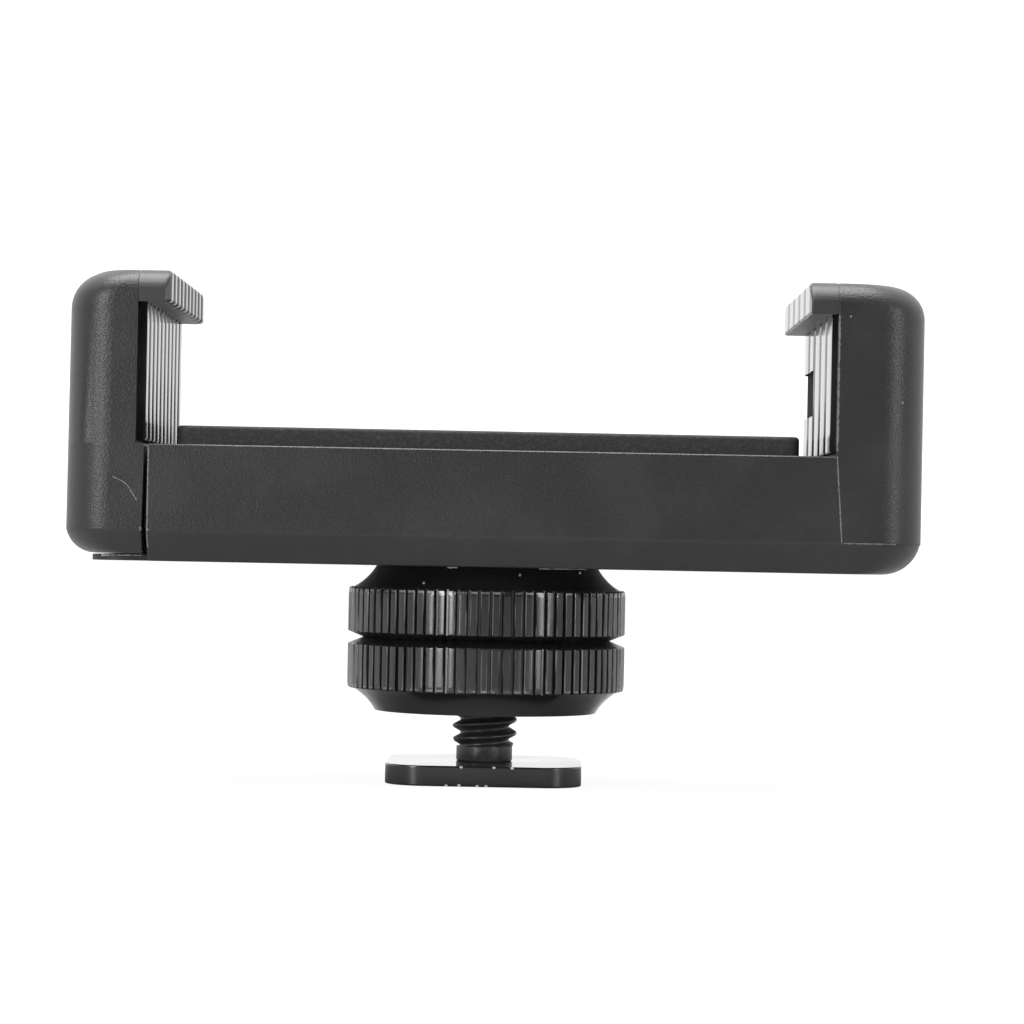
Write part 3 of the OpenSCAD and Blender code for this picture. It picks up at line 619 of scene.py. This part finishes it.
scratch = worn_lines(tree, place, SCRATCH_LINES, JAW_FRONT)
marks = calc(tree, "MULTIPLY", calc(tree, "MAXIMUM", lint, scratch), 0.8)
colour = blend_colours(tree, ramp(tree, grain["Cloud"], 0.4, 0.75), PLASTIC_BLACK, PLASTIC_RUBBED)
colour = blend_colours(tree, worn_lines(tree, place, RUBBED_LINES, JAW_FRONT), colour, EDGE_RUBBED)
finish_with(tree, principled, blend_colours(tree, marks, colour, SCRATCH_GREY),
            ramp(tree, grain["Cloud"], 0.3, 0.7, 0.34, 0.38), grain["Height"], 0.00003)


def merged_heights(*paths):
    """All heights that the given (inset, z) paths have, rising, without near repeats."""
    heights = np.unique(np.round(np.concatenate([path[:, 1] for path in paths]), 4))
    return heights[np.concatenate([[True], np.diff(heights) > 0.01])]


def inset_at(path, z):
    """Inset of an (inset, z) path at height z."""
    return float(np.interp(z, path[:, 1], path[:, 0]))


BEVEL_START = [(BEVEL_W + 2, 0), (BEVEL_W, 0), (0, BEVEL_H)]
long_side = softened([*BEVEL_START, (0, body_top), (2, body_top)], [*BEVEL_EDGES, SMALL_EDGE])[1:-1]
ledge_end = softened([(3.5, 0), (0, 0), (0, BEVEL_H)], [LOW_CORNER_R], 10)[1:-1]


def housing_levels():
    """Levels of the housing: the front and back follow long_side, the ledge ends in the corner ledge_end,
    and above the ledge the right end leans with the seam."""
    levels = []
    for z in merged_heights(long_side, ledge_end, np.array([(0, BEVEL_H)])):
        if z <= BEVEL_H:
            levels.append((clamp_z + z, house_low[0], house_high[0] - inset_at(ledge_end, z),
                           HALF - inset_at(long_side, z), PARTING_EDGE, PLAN_R))
        if z >= BEVEL_H:
            right = seam_x + SEAM_LEAN * (body_top - z) / (body_top - BEVEL_H)
            levels.append((clamp_z + z, house_low[0], right, HALF - inset_at(long_side, z), PARTING_EDGE,
                           SEAM_EDGE))
    return levels


housing = put_in("housing_shell", stacked(housing_levels()), "clamp", plastic, ["housing"])
channel_end = seam_x - CHANNEL_WALL
carve(housing, [
    block((house_low[0] - 1, -tongue_high[1] - 0.3, clamp_z + PLATE_T),
          (channel_end, tongue_high[1] + 0.3, tongue_high[2] + ROOF_GAP)),
    block((house_low[0] - 1, -plate_high[1] - 0.1, clamp_z - 1),
          (plate_high[0] + 0.1, plate_high[1] + 0.1, clamp_z + PLATE_T)),
])


# Base plate: closes the housing from below, holds the hexagon nut, and its thin tail, rubbed pale along
# its edge, runs under the moving jaw. The tongue is moulded in the same plain black plastic.
INNER_BLACK = (0.022, 0.022, 0.0225, 1)
RUBBED_EDGE = (0.4, 0.385, 0.36, 1)
TAIL_FRONT = -12.0
TAIL_LINES = [(-36.2, 20.75, -34.95, 20.76, 0.11), (-34.7, 20.74, -34.4, 20.74, 0.08),
              (-34.3, 20.76, -31.4, 20.78, 0.035)]
inner_plastic, tree, principled, place = material("inner_plastic", 0.5)
grain = use(tree, GRAIN, {"Place": place, "Per Metre": 3000.0})
rubbed = worn_lines(tree, place, TAIL_LINES, TAIL_FRONT)
finish_with(tree, principled, blend_colours(tree, rubbed, INNER_BLACK, RUBBED_EDGE),
            ramp(tree, grain["Cloud"], 0.3, 0.7, 0.42, 0.58), grain["Height"], 0.00002)


def dress(look, *cad_nodes):
    """Gives CAD nodes that stay in view their finish."""
    for name in cad_nodes:
        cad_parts[name].data.materials.clear()
        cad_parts[name].data.materials.append(look)


dress(inner_plastic, "base_plate", "tongue")


# Fixings: zinc-plated screws with a cross recess hold the base plate, the fixed jaw and the moving jaw.
# Steel pins hold the springs, and the hexagon nut in the base plate is plain brass.
SCREW_HEAD_R, SCREW_R, SCREW_PITCH = 1.9, 1.0, 0.8
RECESS_L, RECESS_W, RECESS_D = 1.15, 0.26, 0.6
SCREW_COLUMNS = 72


def metal(name, dark, light, roughness):
    """A turned metal: its colour and roughness change slowly over the surface, with fine tool marks."""
    made, tree, principled, place = material(name, roughness, 1.0)
    grain = use(tree, GRAIN, {"Place": place, "Per Metre": 6000.0})
    colour = blend_colours(tree, ramp(tree, grain["Cloud"], 0.35, 0.65), dark, light)
    rough = ramp(tree, grain["Cloud"], 0.3, 0.7, roughness, roughness + 0.12)
    finish_with(tree, principled, colour, rough, grain["Height"], 0.000008)
    return made


steel = metal("bright_steel", (0.42, 0.42, 0.41, 1), (0.62, 0.62, 0.6, 1), 0.24)
brass = metal("plain_brass", (0.6, 0.45, 0.2, 1), (0.78, 0.62, 0.3, 1), 0.22)
dress(steel, "anchor_pins", "tongue_pins")
dress(brass, "tripod_nut")


def screw_shape(x, y, z0, z1):
    """Countersunk screw, head down: a polar grid of the head's face, sunk RECESS_D inside a cross, then the
    cone and a shank whose radius falls and rises with z / pitch - angle / turn."""
    angle = 2 * math.pi * np.arange(SCREW_COLUMNS) / SCREW_COLUMNS
    radius = np.concatenate([np.linspace(0.02, 1.3, 22), np.linspace(1.4, SCREW_HEAD_R - 0.05, 4)])[:, None]
    px, py = radius * np.cos(angle), radius * np.sin(angle)
    arm = np.clip((RECESS_W - np.minimum(abs(px), abs(py))) / 0.07, 0, 1)
    arm *= np.clip((RECESS_L - np.maximum(abs(px), abs(py))) / 0.1, 0, 1)
    head = np.stack([px, py, z0 + RECESS_D * arm], axis=-1).reshape(-1, 3)
    cone = turned([(SCREW_HEAD_R, z0 + 0.05), (SCREW_HEAD_R, z0 + 0.12), (SCREW_R, z0 + 1.0)],
                  SCREW_COLUMNS)[0]
    z, turn = np.meshgrid(np.linspace(z0 + 1.1, z1, 60), angle / (2 * math.pi), indexing="ij")
    wave = np.abs((z / SCREW_PITCH - turn) % 1 - 0.5) * 2
    r = np.minimum(SCREW_R - 0.25 * wave, 0.15 + (z1 - z) * 1.2)
    shank = np.stack([r * np.cos(angle), r * np.sin(angle), z], axis=-1).reshape(-1, 3)
    points = np.concatenate([head, cone, shank]) + [x, y, 0]
    faces = grid_faces(len(points) // SCREW_COLUMNS, SCREW_COLUMNS)
    return points, closed_ends(faces, len(points), SCREW_COLUMNS)


def joined(*shapes):
    """Several (points, faces) shapes as one."""
    points, faces, count = [], [], 0
    for part_points, part_faces in shapes:
        points.append(np.asarray(part_points, float))
        faces += [[k + count for k in face] for face in part_faces]
        count += len(part_points)
    return np.concatenate(points), faces


def screw_pair(name, cad_node, body):
    """Both screws of a CAD node, at its places, as one piece that replaces it."""
    low, high = box_mm(cad_node)
    x = (low[0] + high[0]) / 2
    y = high[1] - (high[0] - low[0]) / 2
    pair = joined(screw_shape(x, -y, low[2], high[2]), screw_shape(x, y, low[2], high[2]))
    put_in(name, pair, body, steel, [cad_node], 35)


screw_pair("base_plate_screws", "base_screws", "clamp")
screw_pair("fixed_jaw_cross_screws", "fixed_jaw_screws", "clamp")
screw_pair("moving_jaw_cross_screws", "tongue_screws", "sliding_jaw")


# Rest strip: a matte rubber strip, sunk a little into the housing's roof, that the phone's back lies on.
STRIP_EDGE = 0.35
STRIP_CORNER = 1.2
STRIP_BLACK = (0.02, 0.02, 0.02, 1)
STRIP_DUSTY = (0.045, 0.043, 0.041, 1)
strip_rubber, tree, principled, place = material("strip_rubber", 0.7)
grain = use(tree, GRAIN, {"Place": place, "Per Metre": 2600.0})
fluff = use(tree, DUST, {"Place": place, "Per Metre": 900.0, "Radius": 0.2, "Share": 0.05})["Mask"]
shade = calc(tree, "MAXIMUM", ramp(tree, grain["Height"], 0.6, 0.95, 0.0, 0.7), fluff)
finish_with(tree, principled, blend_colours(tree, shade, STRIP_BLACK, STRIP_DUSTY), None, grain["Height"],
            0.00005)
strip_low, strip_high = box_mm("rest_strip")
strip_h = strip_high[2] - strip_low[2]
strip_side = softened([(0, 0), (0, strip_h), (2, strip_h)], [STRIP_EDGE])[:-1]
strip_shape = slab(strip_low, strip_high, strip_side, STRIP_CORNER)
put_in("rest_strip_moulding", strip_shape, "clamp", strip_rubber, ["rest_strip"])


# Fixed jaw: a moulded cap of the same plastic as the housing, screwed on its ledge from below. Its top is
# crowned towards the front and back, and a slanted seam divides it from the housing.
CROWN_R = 2.6
FIXED_TOP_R = 3.25
JAW_EDGE = 0.3
jaw_top = fixed_high[2] - clamp_z
crown_side = softened([*BEVEL_START, (0, jaw_top), (CROWN_R + 1, jaw_top)], [*BEVEL_EDGES, CROWN_R],
                      14)[1:-1]


def jaw_levels(z0, end_path, inner, outer):
    """Levels of a jaw: the front and back follow crown_side, the outer end follows end_path, and inner(z) and
    outer are the x of its two ends. The outer end has the large plan corners, cut down where the jaw's top
    is narrower than they are."""
    side = 1 if outer > inner(z0) else -1
    levels = []
    for z in merged_heights(crown_side, end_path, np.array([(0, body_top)])):
        if z < z0 - 0.001:
            continue
        half = HALF - inset_at(crown_side, z)
        rise = max(0.0, z - jaw_top + JAW_EDGE)
        near = inner(z) + side * (JAW_EDGE - math.sqrt(max(0.0, JAW_EDGE**2 - rise**2)))
        far = outer - side * inset_at(end_path, z)
        corner = min(PLAN_R, abs(far - near) - 2 * PARTING_EDGE)
        if side > 0:
            levels.append((clamp_z + z, near, far, half, PARTING_EDGE, corner))
        else:
            levels.append((clamp_z + z, far, near, half, corner, PARTING_EDGE))
    return levels


fixed_end = softened([(SEAM_EDGE, BEVEL_H), (0, BEVEL_H + SEAM_EDGE), (0, jaw_top),
                      (FIXED_TOP_R + 1, jaw_top)], [0.05, FIXED_TOP_R], 14)[:-1]


def fixed_inner(z):
    """x of the fixed jaw's inner face: it leans out below the housing's roof."""
    return seam_x + SEAM_LEAN * max(0.0, body_top - z) / (body_top - BEVEL_H)


fixed_jaw_levels = jaw_levels(BEVEL_H, fixed_end, fixed_inner, fixed_high[0])
z, near, far, half, r0, r1 = fixed_jaw_levels[0]
fixed_jaw_levels[0] = (z, near, far, half - SEAM_EDGE, r0, r1)
put_in("fixed_jaw_cap", stacked(fixed_jaw_levels), "clamp", plastic, ["fixed_jaw"])


# Moving jaw: moulded in one piece, with a large outer corner and a foot that stands against the housing's
# open end. The tongue's head sits in it and slides in the housing.
MOVING_TOP_R = 3.55
MOVING_LOW_R = 2.45
JAW_DRAFT = 0.15
FOOT_REACH = 0.8
moving_low, moving_high = box_mm("moving_jaw")
jaw_z0 = moving_low[2] - clamp_z
moving_seat_x = moving_high[0] - FOOT_REACH
moving_end = softened([(3.5, jaw_z0), (0, jaw_z0), (JAW_DRAFT, jaw_top), (MOVING_TOP_R + 1, jaw_top)],
                      [MOVING_LOW_R, MOVING_TOP_R], 14)[1:-1]


def moving_inner(z):
    """x of the moving jaw's inner face: its foot, below the housing's roof, reaches up to the housing and
    leans a little away from it towards the bottom."""
    return moving_high[0] - SLIT_LEAN * (1 - z / body_top) if z < body_top - 0.001 else moving_seat_x


moving_levels = jaw_levels(jaw_z0, moving_end, moving_inner, moving_low[0])
step = next(i for i, level in enumerate(moving_levels) if level[0] >= clamp_z + body_top)
z, far, near, half, r0, r1 = moving_levels[step]
foot_edge = [(body_top - SMALL_EDGE, 0), (body_top - 0.3 * SMALL_EDGE, 0.3 * SMALL_EDGE),
             (body_top, SMALL_EDGE), (body_top, moving_high[0] - moving_seat_x)]
moving_levels[step:step] = [(clamp_z + rise, far, moving_high[0] - back, half, r0, r1)
                            for rise, back in foot_edge]
put_in("moving_jaw_moulding", stacked(moving_levels), "sliding_jaw", plastic, ["moving_jaw"])


# Grips: two glossy rubber mouldings plugged into the jaws. Each has a ribbed pad and a ribbed lip on top
# that hooks over the phone; the right one has fewer, broader ribs and a notch at its back.
RUBBER_BLACK = (0.035, 0.035, 0.036, 1)
RUBBER_WORN = (0.055, 0.055, 0.055, 1)
# Painted shade: a near-black that stands in for the shade in the grips' recesses.
PAINTED_SHADE_BLACK = (0.008, 0.008, 0.008, 1)
LIP_T = 3.0
GRIP_HALF = HALF - 0.15
PAD_FRONT = HALF - 0.95
RIB_COLUMNS = 14
MOVING_RIBS, MOVING_PROUD = 10, 0.8
FIXED_RIBS, FIXED_PROUD = 5, 0.55
grip_rubber, tree, principled, place = material("grip_rubber", 0.12)
grain = use(tree, GRAIN, {"Place": place, "Per Metre": 3600.0})
along = add(tree, "Mapping", {0: place, 3: (1.0, 1.0, 0.06)}).outputs[0]
drawn = add(tree, "TexNoise", {"Vector": along, "Scale": 1500.0, "Detail": 2.0}).outputs[0]
colour = blend_colours(tree, ramp(tree, drawn, 0.5, 0.8), RUBBER_BLACK, RUBBER_WORN)
rough = ramp(tree, drawn, 0.3, 0.7, 0.37, 0.43)
rough = calc(tree, "MULTIPLY_ADD", facing(tree, 0, 0.3, 0.6), -0.28, rough)
finish_with(tree, principled, colour, rough, grain["Height"], 0.000003)
# Painted shade: the pads' front ends and the notch's floor get this near-black, matte, barely reflective rubber
# in place of the shade that falls in those recesses.
painted_shade_rubber, tree, principled, place = material("painted_shade_rubber", 0.9)
principled.inputs["Specular IOR Level"].default_value = 0.1
grain = use(tree, GRAIN, {"Place": place, "Per Metre": 3600.0})
colour = blend_colours(tree, ramp(tree, grain["Cloud"], 0.4, 0.7), PAINTED_SHADE_BLACK, STRIP_BLACK)
finish_with(tree, principled, colour, None, grain["Height"], 0.00001)


def rib_dip(y, ribs, flat):
    """Depth share across the ribs: 0 to the share flat of the pitch from a rib's middle, then t^2 (2 - t) up to
    1 in the groove, with t the share of the way from there to the groove."""
    d = np.abs(((y + GRIP_HALF) / (2 * GRIP_HALF) * ribs) % 1 - 0.5)
    t = np.clip((d - flat) / (0.5 - flat), 0, 1)
    return t**2 * (2 - t) + 0.12 * (d / 0.5) ** 2 * (1 - t)


def crowned(points, foot):
    """Scales the heights above foot so that the lip's top follows the jaws' crown, a circle of CROWN_R."""
    past = np.clip(np.abs(points[:, :, 1]) - (HALF - CROWN_R), 0, CROWN_R)
    crown = clamp_z + jaw_top - CROWN_R + np.sqrt(CROWN_R**2 - past**2)
    share = (crown - foot) / (clamp_z + jaw_top - foot)
    points[:, :, 2] = foot + (points[:, :, 2] - foot) * share
    return points


def ribbed_bar(face_x, side, path, share, y, ribs, depth, flat, foot=None):
    """Closed bar along Y: an (out, z) path at every y, with its points drawn back by depth * share * dip."""
    path = np.array(path, float)
    out = path[:, :1] - depth * np.array(share, float)[:, None] * rib_dip(y, ribs, flat)[None, :]
    z = np.repeat(path[:, 1:], len(y), axis=1)
    points = np.stack([face_x + side * out, np.repeat(y[None, :], len(path), axis=0), z], axis=-1)
    if foot is not None:
        points = crowned(points, foot)
    rows, columns = points.shape[:2]
    numbers = np.arange(rows * columns).reshape(rows, columns)
    faces = grid_faces(rows, columns, closed=False)
    wrap = np.stack([numbers[-1, :-1], numbers[-1, 1:], numbers[0, 1:], numbers[0, :-1]], axis=-1)
    faces += wrap.tolist()
    faces += [numbers[:, 0].tolist(), numbers[::-1, -1].tolist()]
    if side < 0:
        faces = [face[::-1] for face in faces]
    return points.reshape(-1, 3), faces


def grip_shape(face_x, side, z0, proud, lip, ribs, pad_ribs, lip_ribs):
    """Grip on the jaw face at face_x, towards side: the pad up to the lip, and the lip above it. The lip's
    ribs run out through its top edge, and the pad starts a little behind the lip's front end. pad_ribs and
    lip_ribs are the depth of the grooves and the flat share of a rib."""
    z1 = clamp_z + jaw_top
    under = z1 - LIP_T
    reach = proud + lip
    columns = ribs * RIB_COLUMNS + 1
    ends = HALF - CROWN_R + CROWN_R * np.sin(np.radians(np.linspace(8, 70, 12)))
    y = np.unique(np.round(np.concatenate([np.linspace(-GRIP_HALF, GRIP_HALF, columns), ends, -ends]), 3))
    pad_path = [(0.0, z0), (proud - 0.2, z0), (proud - 0.06, z0 + 0.06), (proud, z0 + 0.2),
                (proud, under + 0.3), (0.0, under + 0.3)]
    pad_y = np.concatenate([[-PAD_FRONT], y[(y > -PAD_FRONT + 0.05)]])
    pad = ribbed_bar(face_x, side, pad_path, [0, 0, 0.8, 1, 1, 0], pad_y, ribs, *pad_ribs)
    lip_path = softened([(0, under), (reach, under), (reach, z1), (0, z1)], [0.3, 0.45], 6)
    start = [(0, under), (reach - 1.4, under), (reach - 0.9, under)]
    end = [(reach - 0.9, z1), (reach - 1.4, z1), (0, z1)]
    lip_path = np.concatenate([start, lip_path[1:-1], end])
    share = np.clip((lip_path[:, 0] - reach + 1.0) / 0.6, 0, 1)
    lip_bar = ribbed_bar(face_x, side, lip_path, share, y, ribs, *lip_ribs, under)
    return joined(pad, lip_bar)


NOTCH_LOW, NOTCH_HIGH, NOTCH_START = 15.0, 19.4, 4.15
NOTCH_FLOOR = 0.12
moving_grip_box, fixed_grip_box = box_mm("moving_grip"), box_mm("fixed_grip")
moving_lip = moving_grip_box[1][0] - moving_high[0]
fixed_lip = seam_x - FIXED_PROUD - fixed_grip_box[0][0]
moving_shape = grip_shape(moving_seat_x, 1, moving_grip_box[0][2], MOVING_PROUD, moving_lip, MOVING_RIBS,
                          (0.42, 0.3), (0.5, 0.16))
moving_grip = put_in("moving_grip_moulding", moving_shape, "sliding_jaw", grip_rubber,
                     ["moving_grip"], 35)
fixed_shape = grip_shape(seam_x, -1, fixed_grip_box[0][2], FIXED_PROUD, fixed_lip, FIXED_RIBS,
                         (0.25, 0.34), (0.14, 0.3))
fixed_grip = put_in("fixed_grip_moulding", fixed_shape, "clamp", grip_rubber,
                    ["fixed_grip"], 35)
carve(fixed_grip, [block((seam_x - 2, NOTCH_START, clamp_z + NOTCH_LOW),
                         (seam_x - NOTCH_FLOOR, 17, clamp_z + NOTCH_HIGH))], 35)
under_lip = clamp_z + jaw_top - LIP_T
# The faces in these recesses take the painted-shade rubber as their second material.
for grip in (moving_grip, fixed_grip):
    grip.data.materials.append(painted_shade_rubber)
    middles = np.zeros(3 * len(grip.data.polygons), np.float32)
    grip.data.polygons.foreach_get("center", middles)
    x, y, z = middles.reshape(-1, 3).T / MM
    painted_shade_faces = (y < -PAD_FRONT + 0.01) & (z < under_lip)
    painted_shade_faces |= ((y > NOTCH_START - 0.01) & (z > clamp_z + NOTCH_LOW - 0.01) & (z < clamp_z + NOTCH_HIGH + 0.01)
             & (x > seam_x - FIXED_PROUD + 0.01))
    grip.data.polygons.foreach_set("material_index", painted_shade_faces.astype(np.int32))


# Springs: two long extension springs of steel wire beside the hexagon nut. Each is hooked on a pin in the
# base plate and on a pin under the tongue, and it stretches as the moving jaw opens.
SPRING_TURNS = 34
WIRE_R = 0.2
WIRE_SIDES = 8
TURN_STEPS = 18
LOOP_R = 1.3
spring_low, spring_high = box_mm("spring_front")


def spring_path(x0, x1, y, z, radius):
    """Centre line: a loop round the pin at x0, the coils radius * (cos t, sin t) along X, a loop at x1."""
    lead = LOOP_R + 2.4
    turn = np.radians(np.arange(70, 360, 24))
    loop = np.stack([x0 + LOOP_R * np.cos(turn), LOOP_R * np.sin(turn), 0 * turn], axis=-1)
    t = np.linspace(0, 2 * math.pi * SPRING_TURNS + math.pi, SPRING_TURNS * TURN_STEPS + TURN_STEPS // 2)
    coils = np.stack([x0 + lead + (x1 - x0 - 2 * lead) * t / t[-1], radius * np.cos(t), radius * np.sin(t)],
                     axis=-1)
    far = loop[::-1] * [-1, -1, 1] + [x0 + x1, 0, 0]
    return np.concatenate([loop, coils, far]) + [0, y, z]


def wire_shape(path, radius, sides):
    """Round wire: at each path point a ring of the given radius, square to the path, that is carried along
    by projecting the last ring's first direction."""
    tangent = np.gradient(path, axis=0)
    tangent /= np.linalg.norm(tangent, axis=1, keepdims=True)
    normal = np.zeros_like(path)
    carried = np.array([0.0, 0.0, 1.0])
    for i, t in enumerate(tangent):
        carried = carried - carried @ t * t
        carried /= np.linalg.norm(carried)
        normal[i] = carried
    angle = 2 * math.pi * np.arange(sides) / sides
    other = np.cross(tangent, normal)
    ring = normal[:, None] * np.cos(angle)[:, None] + other[:, None] * np.sin(angle)[:, None]
    points = (path[:, None] + radius * ring).reshape(-1, 3)
    return points, closed_ends(grid_faces(len(path), sides), len(points), sides)


pin_x0 = spring_low[0] + LOOP_R + WIRE_R
pin_x1 = spring_high[0] - LOOP_R - WIRE_R
for name, cad_node in (("spring_front_coils", "spring_front"), ("spring_rear_coils", "spring_rear")):
    low, high = box_mm(cad_node)
    middle = (low + high) / 2
    path = spring_path(pin_x0, pin_x1, middle[1], middle[2], (high[2] - low[2]) / 2 - WIRE_R)
    spring = put_in(name, wire_shape(path, WIRE_R, WIRE_SIDES), None, steel, [cad_node], 60)
    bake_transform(spring)


# Studio: a pale floor, a white background, two tall soft boxes in front at the left and right, a wide weak
# one behind the camera, one near the left end and one overhead.
FLOOR = 3.0
FLOOR_GREY = (0.42, 0.42, 0.42, 1)
WHITE = (1, 1, 1, 1)
GLOW, GLOW_SHARE = 1.2, 0.78


def area_light(name, place, aim, size, power):
    """A soft rectangular light at place, pointing at aim, in metres and watts."""
    data = bpy.data.lights.new(name, "AREA")
    data.shape = "RECTANGLE"
    data.size, data.size_y = size
    data.energy = power
    light = bpy.data.objects.new(name, data)
    bpy.context.scene.collection.objects.link(light)
    light.location = place
    light.rotation_mode = "QUATERNION"
    direction = Vector(aim) - Vector(place)
    light.rotation_quaternion = direction.to_track_quat("-Z", "Y")
    return light


CENTRE = (0, 0, 0.03)
area_light("left_box", (-0.46, -0.65, 0.2), CENTRE, (0.14, 0.5), 2.8)
area_light("right_box", (0.6, -0.55, 0.16), CENTRE, (0.11, 0.45), 1.7)
area_light("front_box", (-0.34, -0.93, 0.17), CENTRE, (0.34, 0.34), 0.14)
area_light("near_box", (-0.26, -0.24, 0.14), (-0.03, -0.015, 0.03), (0.12, 0.12), 0.1)
area_light("top_box", (-0.05, 0.0, 0.6), CENTRE, (0.5, 0.4), 4.6)

scene = bpy.context.scene
world = bpy.data.worlds.new("studio")
scene.world = world
world.use_nodes = True
tree = world.node_tree
behind = add(tree, "SeparateXYZ", {0: add(tree, "TexCoord").outputs["Generated"]}).outputs[1]
level = ramp(tree, behind, -0.65, 0.2, 0.1, 1.3)
seen = add(tree, "LightPath").outputs["Is Camera Ray"]
tree.links.new(calc(tree, "MAXIMUM", level, seen), tree.nodes["Background"].inputs["Strength"])
tree.nodes["Background"].inputs["Color"].default_value = WHITE
scene.view_settings.view_transform = "Standard"

floor_mesh = bpy.data.meshes.new("floor")
floor_mesh.from_pydata([(-FLOOR, -FLOOR, 0), (FLOOR, -FLOOR, 0), (FLOOR, FLOOR, 0), (-FLOOR, FLOOR, 0)],
                       [], [(0, 1, 2, 3)])
floor = bpy.data.objects.new("floor", floor_mesh)
scene.collection.objects.link(floor)
floor_look, tree, principled, place = material("floor", 0.9)
principled.inputs["Base Color"].default_value = FLOOR_GREY
principled.inputs["Specular IOR Level"].default_value = 0.0
glow = add(tree, "Emission", {"Color": WHITE, "Strength": GLOW})
seen = add(tree, "LightPath").outputs["Is Camera Ray"]
share = calc(tree, "MULTIPLY", seen, GLOW_SHARE)
shown = add(tree, "MixShader", {0: share, 1: principled.outputs[0], 2: glow.outputs[0]})
tree.links.new(shown.outputs[0], tree.nodes["Material Output"].inputs["Surface"])
floor_mesh.materials.append(floor_look)
floor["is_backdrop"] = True


# Camera: level and facing +Y, rolled a little, with the shift that the photograph's perspective gives.
PICTURE = 1024
SENSOR = 36
FOCAL = 3376
PRINCIPAL = (529.3, 545.0)
ROLL = math.radians(1.10)
camera_data = bpy.data.cameras.new("camera")
camera = bpy.data.objects.new("camera", camera_data)
scene.collection.objects.link(camera)
camera_data.sensor_width = SENSOR
camera_data.lens = SENSOR * FOCAL / PICTURE
camera_data.shift_x = (PICTURE / 2 - PRINCIPAL[0]) / PICTURE
camera_data.shift_y = (PRINCIPAL[1] - PICTURE / 2) / PICTURE
camera_data.clip_start = 0.01
camera.location = (0.0039, -0.32, 0.0224)
camera.rotation_euler = (math.pi / 2, -ROLL, 0)
scene.camera = camera

low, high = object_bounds()
